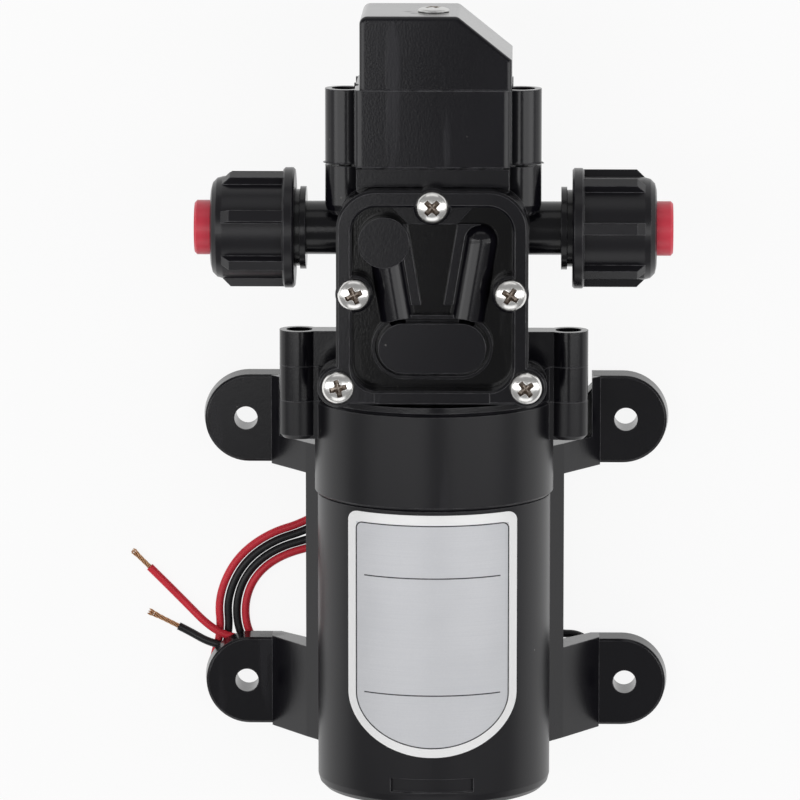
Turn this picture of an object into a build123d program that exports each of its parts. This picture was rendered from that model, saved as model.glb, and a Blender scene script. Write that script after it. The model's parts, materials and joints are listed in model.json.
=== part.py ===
from build123d import *
import math
import os

# Caravan water pump: a small 12 V diaphragm pump lying on its four feet.
# X runs across the two hose ports, Y along the motor shaft towards the pressure switch, and Z up from the
# surface that the feet stand on. The origin is the middle of the four foot holes, on that surface.
# All lengths are in millimetres.

# Clearances
overrun = 1.0             # how far a cutter runs past the face that it opens
slip_gap = 0.1            # round parts pushed together by hand, per side
press_gap = 0.02          # round parts pressed together, per side
running_gap = 0.3         # parts that move past each other
journal_gap = 0.04        # a shaft or pin turning in its bore, per side
round_angles = (0, 30, 60, 90)  # degrees, flats that round off a turned edge

# Motor and shaft
shaft_z = 30.0
shaft_diameter = 5.0
can_diameter = 42.6
can_wall = 1.6
can_rear_gap = 4.3        # from the jacket's end wall to the can
can_front_y = 25.3
hub_diameter = 17.4
hub_length = 4.5
magnet_thickness = 4.0
magnet_rear_gap = 16.7    # from the can's rear edge
magnet_front_y = 20.0
magnet_sweep = 140.0      # degrees round the shaft
air_gap = 0.6
armature_rear_gap = 21.7  # from the can's rear edge
armature_front_y = 15.0
slot_count = 5
slot_width = 3.2
slot_depth = 6.5
winding_length = 6.0
winding_clearance = 1.6   # end turns below the armature's outer radius
winding_core = 4.5        # inner radius of the end turns
slot_air = 0.2
commutator_diameter = 13.0
commutator_length = 9.0
commutator_gap = 2.0      # from the rear end turns to the commutator
brush_width = 4.0
brush_height = 6.0
brush_length = 7.0
brush_spring_length = 4.0
brush_spring_diameter = 3.6
holder_wall = 1.0
holder_standoff = 1.0     # holder above the commutator
end_cap_thickness = 4.0
rear_hub_diameter = 14.0
rear_hub_length = 3.0
hub_lip = 1.0             # wall that closes a bush pocket
bush_diameter = 10.0
bush_length = 4.0

# Jacket round the motor
jacket_wall = 2.7
jacket_end_wall = 2.5
jacket_length = 62.4
jacket_front_y = 16.9
jacket_edge_radius = 2.7
window_width = 17.0       # shallow arched recess near the rear edge
window_length = 2.8
window_depth = 0.6
window_setback = 3.4      # from the rear face
lead_exit_setback = 4.6   # from the rear face to the grommet
lead_exit_width = 8.0
lead_exit_length = 3.8

# Rating plate: thin foil stuck round the jacket
label_width = 34.6        # seen from above
label_length = 50.5
label_arc_rise = 12.7     # height of the round lower end
label_corner = 2.0
label_thickness = 0.16
label_glue = 0.02
label_setback = 1.1       # from the jacket's front edge

# Collar and bearing plate between motor and pump head
collar_step = 0.6         # collar radius over the jacket's
collar_length = 19.6
collar_web = 3.4
collar_wall = 4.6
plate_length = 7.3
plate_web = 3.0
plate_wall = 4.0
plate_rim = 1.6           # full round rim before the flat that clears the head
seam_chamfer = 0.4

# Clamping bosses at both sides of collar, plate and body
side_boss_x = 27.7
side_boss_z = 34.0
side_boss_diameter = 8.2
side_boss_web = 5.6
side_boss_drop = 7.9      # boss length on the collar
side_boss_rise = 7.3      # boss length on the body
side_boss_pocket = 5.4    # counterbore for the screw head
side_boss_pocket_depth = 3.4

# Main and crank bearings
main_bearing_diameter = 16.0
main_bearing_width = 5.0
race_share = 0.5          # share of a bearing's section taken by the inner ring
bearing_lip = 1.6         # plate lip in front of the main bearing
bearing_seat_wall = 3.0
bearing_window = 5.6      # radius of the opening in the lip
crank_throw = 1.5
crank_pin_diameter = 10.0
crank_pin_length = 7.0
crank_bearing_diameter = 15.0
crank_bearing_width = 4.0
rod_eye_diameter = 18.4
rod_length = 10.2         # eye centre to the face under the diaphragm
counterweight_radius = 8.5
counterweight_length = 6.0
counterweight_gap = 0.5   # between the counterweight and the rod's foot
rod_neck = 8.0
rod_width = 7.0
rod_foot_diameter = 11.0
rod_foot_height = 2.2

# Pump body
body_length = 42.6        # bearing plate to the top of the neck
body_half_width = 19.45
body_corner = 8.0
body_front_z = 48.3
body_deck = 6.9           # thickness of the front deck
body_lip = 4.8            # how far the deck hangs over the bearing plate
body_lip_thickness = 2.4
crankcase_radius = 19.4
crankcase_wall = 3.0
crankcase_length = 22.6
port_block_back_z = 27.5
neck_half_width = 15.5
neck_length = 3.7
neck_front_z = 50.6
neck_back_z = 24.0
crank_setback = 13.7      # bearing plate to the line of the connecting rod

# Diaphragm, valves and gasket
diaphragm_diameter = 24.0
diaphragm_bead = 2.1
diaphragm_bead_height = 2.4
diaphragm_skin = 1.1
diaphragm_centre = 1.6    # thickness under the retainer
retainer_diameter = 10.0
retainer_height = 1.5
valve_plate_thickness = 3.5
valve_pitch = 10.4
valve_offset = 4.5        # from the diaphragm's centre
valve_cap_diameter = 7.4
valve_cap_thickness = 0.9
valve_recess_diameter = 8.0
valve_recess_depth = 1.2
valve_stem_diameter = 2.0
valve_bulb_diameter = 2.8
valve_bulb_height = 0.8
valve_bulb_recess = 1.0
valve_hole_diameter = 1.7
valve_hole_circle = 4.6
valve_hole_count = 3
gasket_thickness = 0.5
gasket_inset = 0.3

# Head cover
cover_front_z = 56.0
cover_floor = 2.0
cover_rim_side = 3.2
cover_rim_top = 3.4
cover_rim_bottom = 2.8
cover_recess_corner = 5.0
cover_edge = 0.5
cover_screw_inset = 3.65  # middle screws from the body's side
cover_screw_drop = 10.9   # middle screws below the port line
cover_ear_inset = 0.45    # lower screws from the body's side
cover_ear_rise = 3.6      # lower screws above the cover's lower edge
top_screw_drop = 3.2      # top screw below the cover's top edge
cover_boss_diameter = 7.6
top_boss_flare = 10.0     # width of the top boss where it meets the floor
top_boss_drop = 4.0
strip_width = 23.4
strip_height = 2.2
strip_rise = 0.3
channel_diameter = 7.0
channel_bore = 3.4
channel_axis_rise = 0.2   # channel axis above the cover's floor
channel_top_x = 9.8
channel_top_drop = 0.5    # below the port line
channel_foot_x = 7.1
channel_foot_rise = 3.0   # above the valve line
channel_disc_diameter = 10.4
channel_disc_rise = 4.4
ledge_top_x = 5.1
ledge_foot_x = 2.3
ledge_foot_rise = 2.9     # above the channels' foot
ledge_rise = 1.3
pill_width = 21.9
pill_height = 10.2
pill_rise = 4.2
pill_ring_width = 24.7
pill_ring_height = 13.2
pill_ring_rise = 2.2
pill_ring_wall = 0.7
pill_drop = 2.6           # below the valve line
pill_groove_floor = 0.7
chamber_wall = 1.5
chamber_divider = 1.6

# Hose ports
port_setback = 10.2       # below the body's top edge
port_z = 36.0
port_pipe_diameter = 11.0
port_bore = 6.4
thread_start_x = 26.1
thread_diameter = 17.0
thread_ridge = 1.2
spigot_diameter = 15.8
spigot_end_x = 38.6
hose_stop_x = 28.6
hose_diameter = 9.6
hose_clearance = 0.1
o_ring_diameter = 13.8
o_ring_bore = 9.8
o_ring_length = 2.4
o_ring_edge = 0.6
spacer_length = 1.5
grab_ring_thickness = 0.5
grab_ring_diameter = 15.6
grab_tooth_count = 10
grab_tooth_gap = 0.8
nut_start_x = 28.4
nut_flange_length = 2.4
nut_flange_diameter = 24.7
nut_end_x = 45.6
nut_diameter = 21.0
nut_end_round = 2.5
nut_mouth_lip = 2.4       # thickness of the nut's end wall
nut_thread_bore = 16.4
nut_ledge_x = 40.9        # ledge that holds the grab ring in
nut_ledge_bore = 14.0
rib_count = 7
rib_width = 2.4
rib_diameter = 24.2
rib_end_x = 43.2
rib_taper = 1.6
collet_diameter = 11.2
collet_wall = 0.7
collet_end_x = 49.0
collet_edge = 0.5
collet_flange_diameter = 13.2
collet_flange_length = 0.8
spacer_bore = 12.0
left_rib_angle = 18.8     # first rib, degrees from the top of the nut
right_rib_angle = 7.0

# Pressure switch
switch_gap = 0.5          # shadow gap between the body's neck and the housing
housing_length = 15.7
housing_half_width = 15.8
housing_back_z = 24.0
housing_front_z = 52.0
housing_wall = 2.0
housing_corner = 1.4
housing_ridge = 0.4
housing_ridge_width = 1.2
housing_floor = 6.6       # solid part round the plunger
housing_foot_inset = 1.2  # foot that carries the housing on the neck
tube_x = 17.9
tube_z = 42.0
tube_diameter = 8.3
tube_bore = 5.6
tube_floor = 3.0
tube_shortfall = 0.6
tube_foot_length = 10.5
tube_foot_round = 2.4
cap_length = 14.9
cap_left_x = -14.8
cap_right_x = 16.0
cap_corner = 1.6
cap_slope_x = 5.0         # where the slanted corner starts
cap_slope_drop = 8.8
cap_wall = 2.0
cap_edge = 0.9
cap_screw_z = 41.0
cap_post_diameter = 5.6
sensor_x = 3.0
sensor_z = 34.0
sensor_diameter = 18.0
sensor_bead = 1.8
sensor_skin = 0.9
sensor_pocket = 1.6
plunger_diameter = 6.0
plunger_foot_diameter = 11.0
plunger_foot_length = 1.6
plunger_guide = 2.0       # length of the guide bore
plunger_reach = 1.5       # how far the plunger stands out of its guide
sensor_spring_diameter = 10.6
sensor_spring_wall = 1.0
spring_pocket_diameter = 13.0
microswitch_width = 19.8
microswitch_height = 10.6
microswitch_depth = 6.4
button_width = 3.0
button_height = 1.2
button_root = 0.8         # part of the button inside the microswitch
switch_travel = 0.6
terminal_width = 4.8
terminal_thickness = 0.6
terminal_length = 4.4
terminal_pitch = 12.8
rest_width = 2.4
sense_bore = 2.4

# Screws
screw_head_diameter = 6.6
screw_head_height = 2.3
screw_diameter = 3.0
screw_length = 12.0
body_screw_head = 5.0
body_screw_height = 2.2
body_screw_length = 17.0
switch_screw_length = 11.0
cap_screw_length = 9.0
cap_screw_diameter = 6.4
motor_screw_pitch = 25.0
motor_screw_diameter = 4.0
motor_screw_head = 7.0
motor_screw_head_height = 2.4
motor_screw_length = 4.6
retainer_screw_diameter = 2.6
retainer_screw_head = 4.8
retainer_screw_height = 1.0
retainer_screw_length = 2.4  # depth in the rod
tube_screw_head = 5.2
tube_screw_height = 2.2
cradle_screw_setback = 13.9  # from the lead exit to the rear screw
cradle_screw_front_y = 8.0
cradle_screw_head = 6.4
cradle_screw_head_height = 1.6
cradle_screw_length = 3.6

# Cradle and feet
foot_pitch_x = 80.0
foot_pitch_y = 56.4
foot_hole_diameter = 4.9
foot_boss_diameter = 7.0
ear_width = 19.3
ear_nose = 9.0            # hole centre to the tip
ear_top_z = 9.0
ear_height = 5.0
ear_skin = 2.4
ear_rim = 1.8
ear_draft = 5.0           # degrees
ear_edge = 0.4
crease_setback = 5.4      # hole centre to the crease
crease_strip = 1.8
web_width = 6.4           # sloping web behind each front ear
web_thickness = 3.4
web_corner = 1.6
rail_wall = 2.9
rail_thickness = 2.4
rail_drop = 10.0          # outer top edge of the rail below the shaft
lip_drop = 5.5            # inner top edge of the rail below the shaft
saddle_skin = 1.9
rib_thickness = 1.8
cradle_rib_count = 5
cradle_floor_half_width = 17.0

# Leads
lead_diameter = 1.7
strand_diameter = 1.1
grommet_flange = 1.0
grommet_overhang = 0.9
grommet_depth = 3.4       # from the flange into the jacket
lead_sides = 10           # flats round a lead
lead_pitch = 3.8          # between the two leads in the grommet
lead_start = 2.2          # straight run out of the grommet
lead_floor_z = 0.9        # centre of a lead that lies on the floor
lead_over_z = 2.75        # centre of a lead that lies over another
lead_climb_z = 1.8
bend_share = 0.45         # share of the shorter run that a bend takes
bare_red_length = 5.2
bare_black_length = 7.2

# Sizes that follow
hole_x = foot_pitch_x / 2
hole_y = foot_pitch_y / 2
can_radius = can_diameter / 2
jacket_bore = can_radius + slip_gap
jacket_radius = jacket_bore + jacket_wall
jacket_rear_y = jacket_front_y - jacket_length
can_rear_y = jacket_rear_y + jacket_end_wall + can_rear_gap
can_length = can_front_y - can_rear_y
magnet_length = magnet_front_y - can_rear_y - magnet_rear_gap
armature_rear_y = can_rear_y + armature_rear_gap
armature_length = armature_front_y - armature_rear_y
collar_radius = jacket_radius + collar_step
collar_front_y = jacket_front_y + collar_length
plate_front_y = collar_front_y + plate_length
neck_top_y = plate_front_y + body_length
body_top_y = neck_top_y - neck_length
crank_y = plate_front_y + crank_setback
valve_y = crank_y - valve_offset
cover_top_y = body_top_y
cover_bottom_y = plate_front_y - body_lip
port_y = body_top_y - port_setback
cover_screw_x = body_half_width - cover_screw_inset
cover_screw_y = port_y - cover_screw_drop
cover_ear_x = body_half_width - cover_ear_inset
cover_ear_y = cover_bottom_y + cover_ear_rise
cover_top_screw_y = cover_top_y - top_screw_drop
channel_top_y = port_y - channel_top_drop
channel_foot_y = valve_y + channel_foot_rise
ledge_foot_y = channel_foot_y + ledge_foot_rise
pill_y = valve_y - pill_drop
cover_back_z = body_front_z + gasket_thickness
cover_floor_z = cover_back_z + cover_floor
housing_rear_y = neck_top_y + switch_gap
housing_front_y = housing_rear_y + housing_length
cap_top_y = housing_front_y + cap_length
tube_top_y = housing_front_y - tube_shortfall
rear_hub_y = can_rear_y - rear_hub_length
shaft_rear_y = rear_hub_y + hub_lip + slip_gap
shaft_front_y = crank_y + crank_pin_length / 2
armature_radius = can_radius - can_wall - magnet_thickness - air_gap
rest_eye_z = shaft_z - crank_throw
saddle_z = shaft_z - jacket_radius - saddle_skin
ear_floor_z = ear_top_z - ear_height
rail_x = jacket_radius + rail_wall
seat_z = cover_back_z - valve_plate_thickness
deck_z = body_front_z - body_deck
lip_z = body_front_z - body_lip_thickness
lead_exit_y = jacket_rear_y + lead_exit_setback
cradle_screw_rear_y = lead_exit_y + cradle_screw_setback

SHAFT_AXIS = Axis((0, 0, shaft_z), (0, 1, 0))
SHAFT_HALF = Plane(origin=(0, 0, shaft_z), x_dir=(0, 1, 0), z_dir=(1, 0, 0))
PORT_AXIS = Axis((0, port_y, port_z), (1, 0, 0))
PORT_HALF = Plane(origin=(0, port_y, port_z), x_dir=(1, 0, 0), z_dir=(0, -1, 0))
STROKE_AXIS = Axis((0, crank_y, 0), (0, 0, 1))
STROKE_HALF = Plane(origin=(0, crank_y, 0), x_dir=(0, 0, 1), z_dir=(0, 1, 0))

os.makedirs("parts", exist_ok=True)


def along_y(x, front_y, z):
    """A plane at front_y whose normal looks back along the shaft, with its origin at x and z."""
    return Plane(origin=(x, front_y, z), x_dir=(1, 0, 0), z_dir=(0, -1, 0))


def facing_y(x, y, z):
    """A plane whose normal looks towards the switch end."""
    return Plane(origin=(x, y, z), x_dir=(1, 0, 0), z_dir=(0, 1, 0))


def along_x(side, start_x):
    """A plane across the port axis that looks outwards on one side of the pump."""
    return Plane(origin=(side * start_x, port_y, port_z), x_dir=(0, side, 0), z_dir=(side, 0, 0))


def along_z(x, y, low_z):
    """A level plane at low_z with its origin at x and y."""
    return Plane(origin=(x, y, low_z), x_dir=(1, 0, 0), z_dir=(0, 0, 1))


def bar(plane, radius, length, mode=Mode.ADD):
    """A round bar that starts on the plane and runs along its normal."""
    with BuildSketch(plane) as section:
        Circle(radius)
    extrude(section.sketch, amount=length, mode=mode)


def sleeve(plane, outer_radius, inner_radius, length):
    """A tube that starts on the plane and runs along its normal."""
    with BuildSketch(plane) as section:
        Circle(outer_radius)
        Circle(inner_radius, mode=Mode.SUBTRACT)
    extrude(section.sketch, amount=length)


def block(plane, width, height, length, mode=Mode.ADD):
    """A rectangular bar centred on the plane's origin that runs along its normal."""
    with BuildSketch(plane) as section:
        Rectangle(width, height)
    extrude(section.sketch, amount=length, mode=mode)


def turned(plane, axis, points, mode=Mode.ADD):
    """A ring or round part turned about an axis from points of distance along it and radius."""
    with BuildSketch(plane) as section:
        with BuildLine():
            Polyline(*points, close=True)
        make_face()
    revolve(section.sketch, axis=axis, mode=mode)


def prism(plane, points, length, both=False, mode=Mode.ADD):
    """A bar of any straight-sided section that starts on the plane and runs along its normal."""
    with BuildSketch(plane) as section:
        with BuildLine():
            Polyline(*points, close=True)
        make_face()
    extrude(section.sketch, amount=length, both=both, mode=mode)


def pan_screw(plane, head_diameter, head_height, shank_diameter, shank_length):
    """A pan-head screw: the head stands on the plane and the shank goes below it."""
    with BuildSketch(plane) as rim:
        Circle(head_diameter / 2)
    side_height = head_height / 2
    extrude(rim.sketch, amount=side_height)
    with BuildSketch(plane.offset(side_height)) as crown:
        Circle(head_diameter / 2)
    extrude(crown.sketch, amount=head_height - side_height, taper=45)
    bar(plane, shank_diameter / 2, -shank_length)


def rounded_edge(end, radius, edge_radius):
    """Points of distance along an axis and radius that round the outer edge at one end of a turned part."""
    return [
        (end - edge_radius * (1 - math.sin(math.radians(angle))),
         radius - edge_radius * (1 - math.cos(math.radians(angle))))
        for angle in round_angles
    ]


def rounded_bar(x, z, front_y, radius, length, end_radius):
    """A round bar along the shaft's direction with a rounded rear end."""
    rear_y = front_y - length
    corner = [(-y, edge) for y, edge in rounded_edge(-rear_y, radius, end_radius)]
    half = Plane(origin=(x, 0, z), x_dir=(0, 1, 0), z_dir=(1, 0, 0))
    turned(half, Axis((x, 0, z), (0, 1, 0)), [(front_y, 0), (front_y, radius), *corner, (rear_y, 0)])


def save(part, name):
    """Give a finished piece its name and write it."""
    part.label = name
    export_step(part, f"parts/{name}.step")


# Foot cradle: a ribbed saddle under the motor with side rails, sloping webs and four eared feet
cradle_rear_y = -hole_y - ear_width / 2
cradle_front_y = hole_y - ear_width / 2 + web_width
crease_x = hole_x - crease_setback
rail_top_z = shaft_z - rail_drop
lip_x = math.sqrt(jacket_radius ** 2 - lip_drop ** 2) + slip_gap
tip_centre_x = hole_x + ear_nose - ear_width / 2
rail_inner_x = rail_x - rail_thickness
ear_lean = ear_height * math.tan(math.radians(ear_draft))
corner_depth = web_corner * (1 - math.cos(math.radians(45)))
with BuildPart() as foot_cradle:
    for side in (-1, 1):
        for end in (-1, 1):
            with BuildSketch(Plane.XY.offset(ear_floor_z)) as ear:
                with Locations((side * tip_centre_x, end * hole_y)):
                    Circle(ear_width / 2)
                with Locations((side * (tip_centre_x + crease_x - crease_strip) / 2, end * hole_y)):
                    Rectangle(tip_centre_x - crease_x + crease_strip, ear_width)
            extrude(amount=ear_height, taper=ear_draft)
    top_edges = foot_cradle.edges().group_by(Axis.Z)[-1]
    chamfer(top_edges, length=ear_edge)
    for side in (-1, 1):
        for end in (-1, 1):
            with BuildSketch(Plane.XY.offset(ear_floor_z)) as hollow:
                with Locations((side * tip_centre_x, end * hole_y)):
                    Circle(ear_width / 2 - ear_rim)
                with Locations((side * (tip_centre_x + crease_x) / 2, end * hole_y)):
                    Rectangle(tip_centre_x - crease_x, ear_width - 2 * ear_rim)
            extrude(amount=ear_height - ear_skin, mode=Mode.SUBTRACT)
    rail_section = [
        (rail_x, rail_top_z),
        (lip_x, shaft_z - lip_drop),
        (rail_inner_x - rail_thickness, rail_top_z - rail_thickness),
        (rail_inner_x, rail_top_z - 2 * rail_thickness),
        (rail_inner_x, ear_floor_z),
        (rail_x, ear_floor_z),
    ]
    web_section = [
        (crease_x, ear_top_z),
        (rail_x, rail_top_z),
        (rail_inner_x, rail_top_z),
        (rail_inner_x, rail_top_z - 2 * web_thickness),
        (crease_x - web_thickness / 2, ear_floor_z),
        (crease_x, ear_floor_z),
    ]
    strip_section = [
        (crease_x, ear_top_z),
        (crease_x - crease_strip, ear_top_z + crease_strip * (rail_top_z - ear_top_z) / (crease_x - rail_x)),
        (crease_x - crease_strip, ear_floor_z),
        (crease_x, ear_floor_z),
    ]
    for side in (-1, 1):
        mirrored_rail = [(side * x, z - ear_floor_z) for x, z in rail_section]
        mirrored_web = [(side * x, z - ear_floor_z) for x, z in web_section]
        mirrored_strip = [(side * x, z - ear_floor_z) for x, z in strip_section]
        prism(along_y(0, cradle_front_y, ear_floor_z), mirrored_rail, cradle_front_y - cradle_rear_y)
        prism(along_y(0, cradle_front_y, ear_floor_z), mirrored_web, web_width)
        prism(along_y(0, -hole_y + ear_width / 2, ear_floor_z), mirrored_web, ear_width)
        prism(along_y(0, hole_y + ear_width / 2 - ear_lean, ear_floor_z), mirrored_strip,
              ear_width - ear_lean)
        with BuildSketch(along_z(side * (crease_x - crease_strip), cradle_front_y, ear_floor_z)) as corner:
            with BuildLine():
                Polyline((0, web_corner), (0, 0), (-side * web_corner, 0))
                ThreePointArc((-side * web_corner, 0), (-side * corner_depth, corner_depth), (0, web_corner))
            make_face()
        extrude(corner.sketch, amount=ear_height + crease_strip)
    bar(along_y(0, cradle_front_y, shaft_z), jacket_radius + slip_gap + saddle_skin,
        cradle_front_y - cradle_rear_y)
    rib_pitch = (cradle_front_y - cradle_rear_y - rib_thickness) / (cradle_rib_count - 1)
    rib_section = [
        (-rail_inner_x - rail_thickness / 2, rail_top_z - rail_thickness - saddle_z),
        (-rail_inner_x - rail_thickness / 2, ear_floor_z + rail_thickness - saddle_z),
        (-cradle_floor_half_width, 0),
        (cradle_floor_half_width, 0),
        (rail_inner_x + rail_thickness / 2, ear_floor_z + rail_thickness - saddle_z),
        (rail_inner_x + rail_thickness / 2, rail_top_z - rail_thickness - saddle_z),
    ]
    for rib in range(cradle_rib_count):
        prism(along_y(0, cradle_front_y - rib * rib_pitch, saddle_z), rib_section, rib_thickness)
    block(along_z(0, (cradle_front_y + cradle_rear_y) / 2, shaft_z - lip_drop), 2 * rail_x,
          cradle_front_y - cradle_rear_y + 2 * overrun, 2 * jacket_radius, mode=Mode.SUBTRACT)
    for side in (-1, 1):
        above_slope = [
            (side * rail_x, rail_top_z - ear_floor_z),
            (side * lip_x, shaft_z - lip_drop - ear_floor_z),
            (side * rail_x, shaft_z - lip_drop - ear_floor_z),
        ]
        prism(along_y(0, cradle_front_y + overrun, ear_floor_z), above_slope,
              cradle_front_y - cradle_rear_y + 2 * overrun, mode=Mode.SUBTRACT)
    bar(along_y(0, jacket_front_y, shaft_z), jacket_radius + slip_gap, jacket_length, mode=Mode.SUBTRACT)
    bar(along_y(0, cradle_front_y + overrun, shaft_z), collar_radius + slip_gap,
        cradle_front_y + overrun - jacket_front_y, mode=Mode.SUBTRACT)
    for side in (-1, 1):
        for end in (-1, 1):
            bar(along_z(side * hole_x, end * hole_y, 0), foot_boss_diameter / 2, ear_top_z - ear_edge)
            bar(along_z(side * hole_x, end * hole_y, -overrun), foot_hole_diameter / 2,
                ear_top_z + 2 * overrun, mode=Mode.SUBTRACT)
    for screw_y in (cradle_screw_front_y, cradle_screw_rear_y):
        bar(along_z(0, screw_y, saddle_z - overrun), screw_diameter / 2 + slip_gap,
            jacket_wall + 2 * overrun, mode=Mode.SUBTRACT)
        bar(along_z(0, screw_y, saddle_z - overrun), cradle_screw_head / 2 + slip_gap,
            cradle_screw_head_height / 2 + overrun, mode=Mode.SUBTRACT)
save(foot_cradle.part, "foot_cradle")


# Motor jacket: a moulded cup over the motor, with a shallow arched window and the lead exit underneath
with BuildPart() as window_cutter:
    sleeve(along_y(0, jacket_rear_y + window_setback + window_length, shaft_z),
           jacket_radius + overrun, jacket_radius - window_depth, window_length)
    block(along_z(0, jacket_rear_y + window_setback + window_length / 2, shaft_z), window_width,
          window_length, jacket_radius + overrun, mode=Mode.INTERSECT)
with BuildPart() as motor_jacket:
    rounded_bar(0, shaft_z, jacket_front_y, jacket_radius, jacket_length, jacket_edge_radius)
    front_edge = motor_jacket.edges().group_by(Axis.Y)[-1]
    chamfer(front_edge, length=seam_chamfer)
    bar(along_y(0, jacket_front_y + overrun, shaft_z), jacket_bore,
        jacket_length + overrun - jacket_end_wall, mode=Mode.SUBTRACT)
    add(window_cutter.part, mode=Mode.SUBTRACT)
    with BuildSketch(along_z(0, lead_exit_y, saddle_z)) as exit_hole:
        SlotOverall(lead_exit_width, lead_exit_length)
    extrude(exit_hole.sketch, amount=shaft_z - saddle_z, mode=Mode.SUBTRACT)
    for screw_y in (cradle_screw_front_y, cradle_screw_rear_y):
        bar(along_z(0, screw_y, saddle_z), screw_diameter / 2 + press_gap,
            saddle_skin + jacket_wall + overrun, mode=Mode.SUBTRACT)
save(motor_jacket.part, "motor_jacket")

# Rating plate: foil with a round lower end, wrapped on the jacket
label_top_y = jacket_front_y - label_setback
label_side_y = label_top_y - label_length + label_arc_rise
with BuildPart() as rating_label:
    sleeve(along_y(0, jacket_front_y, shaft_z), jacket_radius + label_glue + label_thickness,
           jacket_radius + label_glue, jacket_length)
    with BuildSketch(Plane.XY.offset(shaft_z)) as plate_outline:
        with BuildLine():
            Polyline((-label_width / 2, label_side_y), (-label_width / 2, label_top_y),
                     (label_width / 2, label_top_y), (label_width / 2, label_side_y))
            ThreePointArc((label_width / 2, label_side_y), (0, label_top_y - label_length),
                          (-label_width / 2, label_side_y))
        make_face()
        fillet(plate_outline.vertices().group_by(Axis.Y)[-1], radius=label_corner)
    extrude(plate_outline.sketch, amount=2 * jacket_radius, mode=Mode.INTERSECT)
save(rating_label.part, "rating_label")


def side_boss(front_y, length, root_x, side, round_end):
    """A clamping boss beside the pump with the web that ties it to the round housing."""
    with BuildPart() as boss:
        bar(along_y(side * side_boss_x, front_y, side_boss_z), side_boss_diameter / 2, length)
        if round_end:
            chamfer(boss.edges().group_by(Axis.Y)[0], length=seam_chamfer * 2)
        block(along_y(side * (side_boss_x + root_x) / 2, front_y, side_boss_z), side_boss_x - root_x,
              side_boss_web, length)
    return boss.part


# Front collar: carries the motor's front end and takes the long clamping screws
collar_floor_y = can_front_y + collar_web
collar_bosses = [side_boss(collar_front_y, side_boss_drop, collar_radius - collar_wall, side, True)
                 for side in (-1, 1)]
with BuildPart() as front_collar:
    bar(along_y(0, collar_front_y, shaft_z), collar_radius, collar_length)
    chamfer(front_collar.edges().group_by(Axis.Y)[-1], length=seam_chamfer)
    chamfer(front_collar.edges().group_by(Axis.Y)[0], length=seam_chamfer)
    add(collar_bosses)
    bar(along_y(0, can_front_y, shaft_z), jacket_bore, can_front_y - jacket_front_y + overrun,
        mode=Mode.SUBTRACT)
    bar(along_y(0, collar_front_y + overrun, shaft_z), collar_radius - collar_wall,
        collar_front_y + overrun - collar_floor_y, mode=Mode.SUBTRACT)
    bar(along_y(0, collar_floor_y + overrun, shaft_z), hub_diameter / 2 + slip_gap,
        collar_web + 2 * overrun, mode=Mode.SUBTRACT)
    for side in (-1, 1):
        bar(along_y(side * motor_screw_pitch / 2, collar_floor_y + overrun, shaft_z),
            motor_screw_diameter / 2 + slip_gap, collar_web + 2 * overrun, mode=Mode.SUBTRACT)
        bar(along_y(side * side_boss_x, collar_front_y + overrun, side_boss_z),
            screw_diameter / 2 + press_gap, side_boss_drop, mode=Mode.SUBTRACT)
save(front_collar.part, "front_collar")

# Bearing plate: closes the crank chamber and holds the main bearing
plate_flat_y = collar_front_y + plate_rim
plate_cavity = plate_length - plate_web
bearing_front_y = plate_front_y - bearing_lip
plate_bosses = [side_boss(plate_front_y, plate_length, collar_radius - plate_wall, side, False)
                for side in (-1, 1)]
with BuildPart() as bearing_plate:
    bar(along_y(0, plate_front_y, shaft_z), collar_radius, plate_length)
    chamfer(bearing_plate.edges().group_by(Axis.Y)[0], length=seam_chamfer)
    add(plate_bosses)
    with BuildSketch(along_y(0, collar_front_y + plate_cavity, shaft_z)) as cavity:
        Circle(collar_radius - plate_wall)
        Circle(main_bearing_diameter / 2 + bearing_seat_wall, mode=Mode.SUBTRACT)
    extrude(cavity.sketch, amount=plate_cavity + overrun, mode=Mode.SUBTRACT)
    bar(along_y(0, bearing_front_y, shaft_z), main_bearing_diameter / 2 + press_gap,
        bearing_front_y - collar_front_y + overrun, mode=Mode.SUBTRACT)
    bar(along_y(0, plate_front_y + overrun, shaft_z), bearing_window, plate_length, mode=Mode.SUBTRACT)
    block(along_z(0, (plate_flat_y + plate_front_y + overrun) / 2, lip_z - slip_gap), 2 * collar_radius,
          plate_front_y + overrun - plate_flat_y, collar_radius, mode=Mode.SUBTRACT)
    for side in (-1, 1):
        bar(along_y(side * side_boss_x, plate_front_y + overrun, side_boss_z),
            screw_diameter / 2 + slip_gap, plate_length + 2 * overrun, mode=Mode.SUBTRACT)
        bar(along_z(side * cover_ear_x, cover_ear_y, cover_front_z - screw_length - slip_gap),
            screw_diameter / 2 + press_gap, screw_length, mode=Mode.SUBTRACT)
save(bearing_plate.part, "bearing_plate")


def head_outline(plane, inset=0, ears=True):
    """Outline shared by the body, gasket and cover: round upper corners and an ear at each lower corner."""
    height = cover_top_y - cover_bottom_y - 2 * inset
    with BuildSketch(plane) as outline:
        with Locations((0, (cover_top_y + cover_bottom_y) / 2)):
            Rectangle(2 * (body_half_width - inset), height)
        fillet(outline.vertices().group_by(Axis.Y)[-1], radius=body_corner - inset)
        if ears:
            with Locations((-cover_ear_x, cover_ear_y), (cover_ear_x, cover_ear_y)):
                Circle(cover_boss_diameter / 2 + cover_edge - inset)
    return outline.sketch


cover_screw_places = [
    (0, cover_top_screw_y),
    (-cover_screw_x, cover_screw_y),
    (cover_screw_x, cover_screw_y),
    (-cover_ear_x, cover_ear_y),
    (cover_ear_x, cover_ear_y),
]
bead_floor_z = seat_z - diaphragm_bead_height
diaphragm_bore = diaphragm_diameter / 2 - diaphragm_bead

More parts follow.
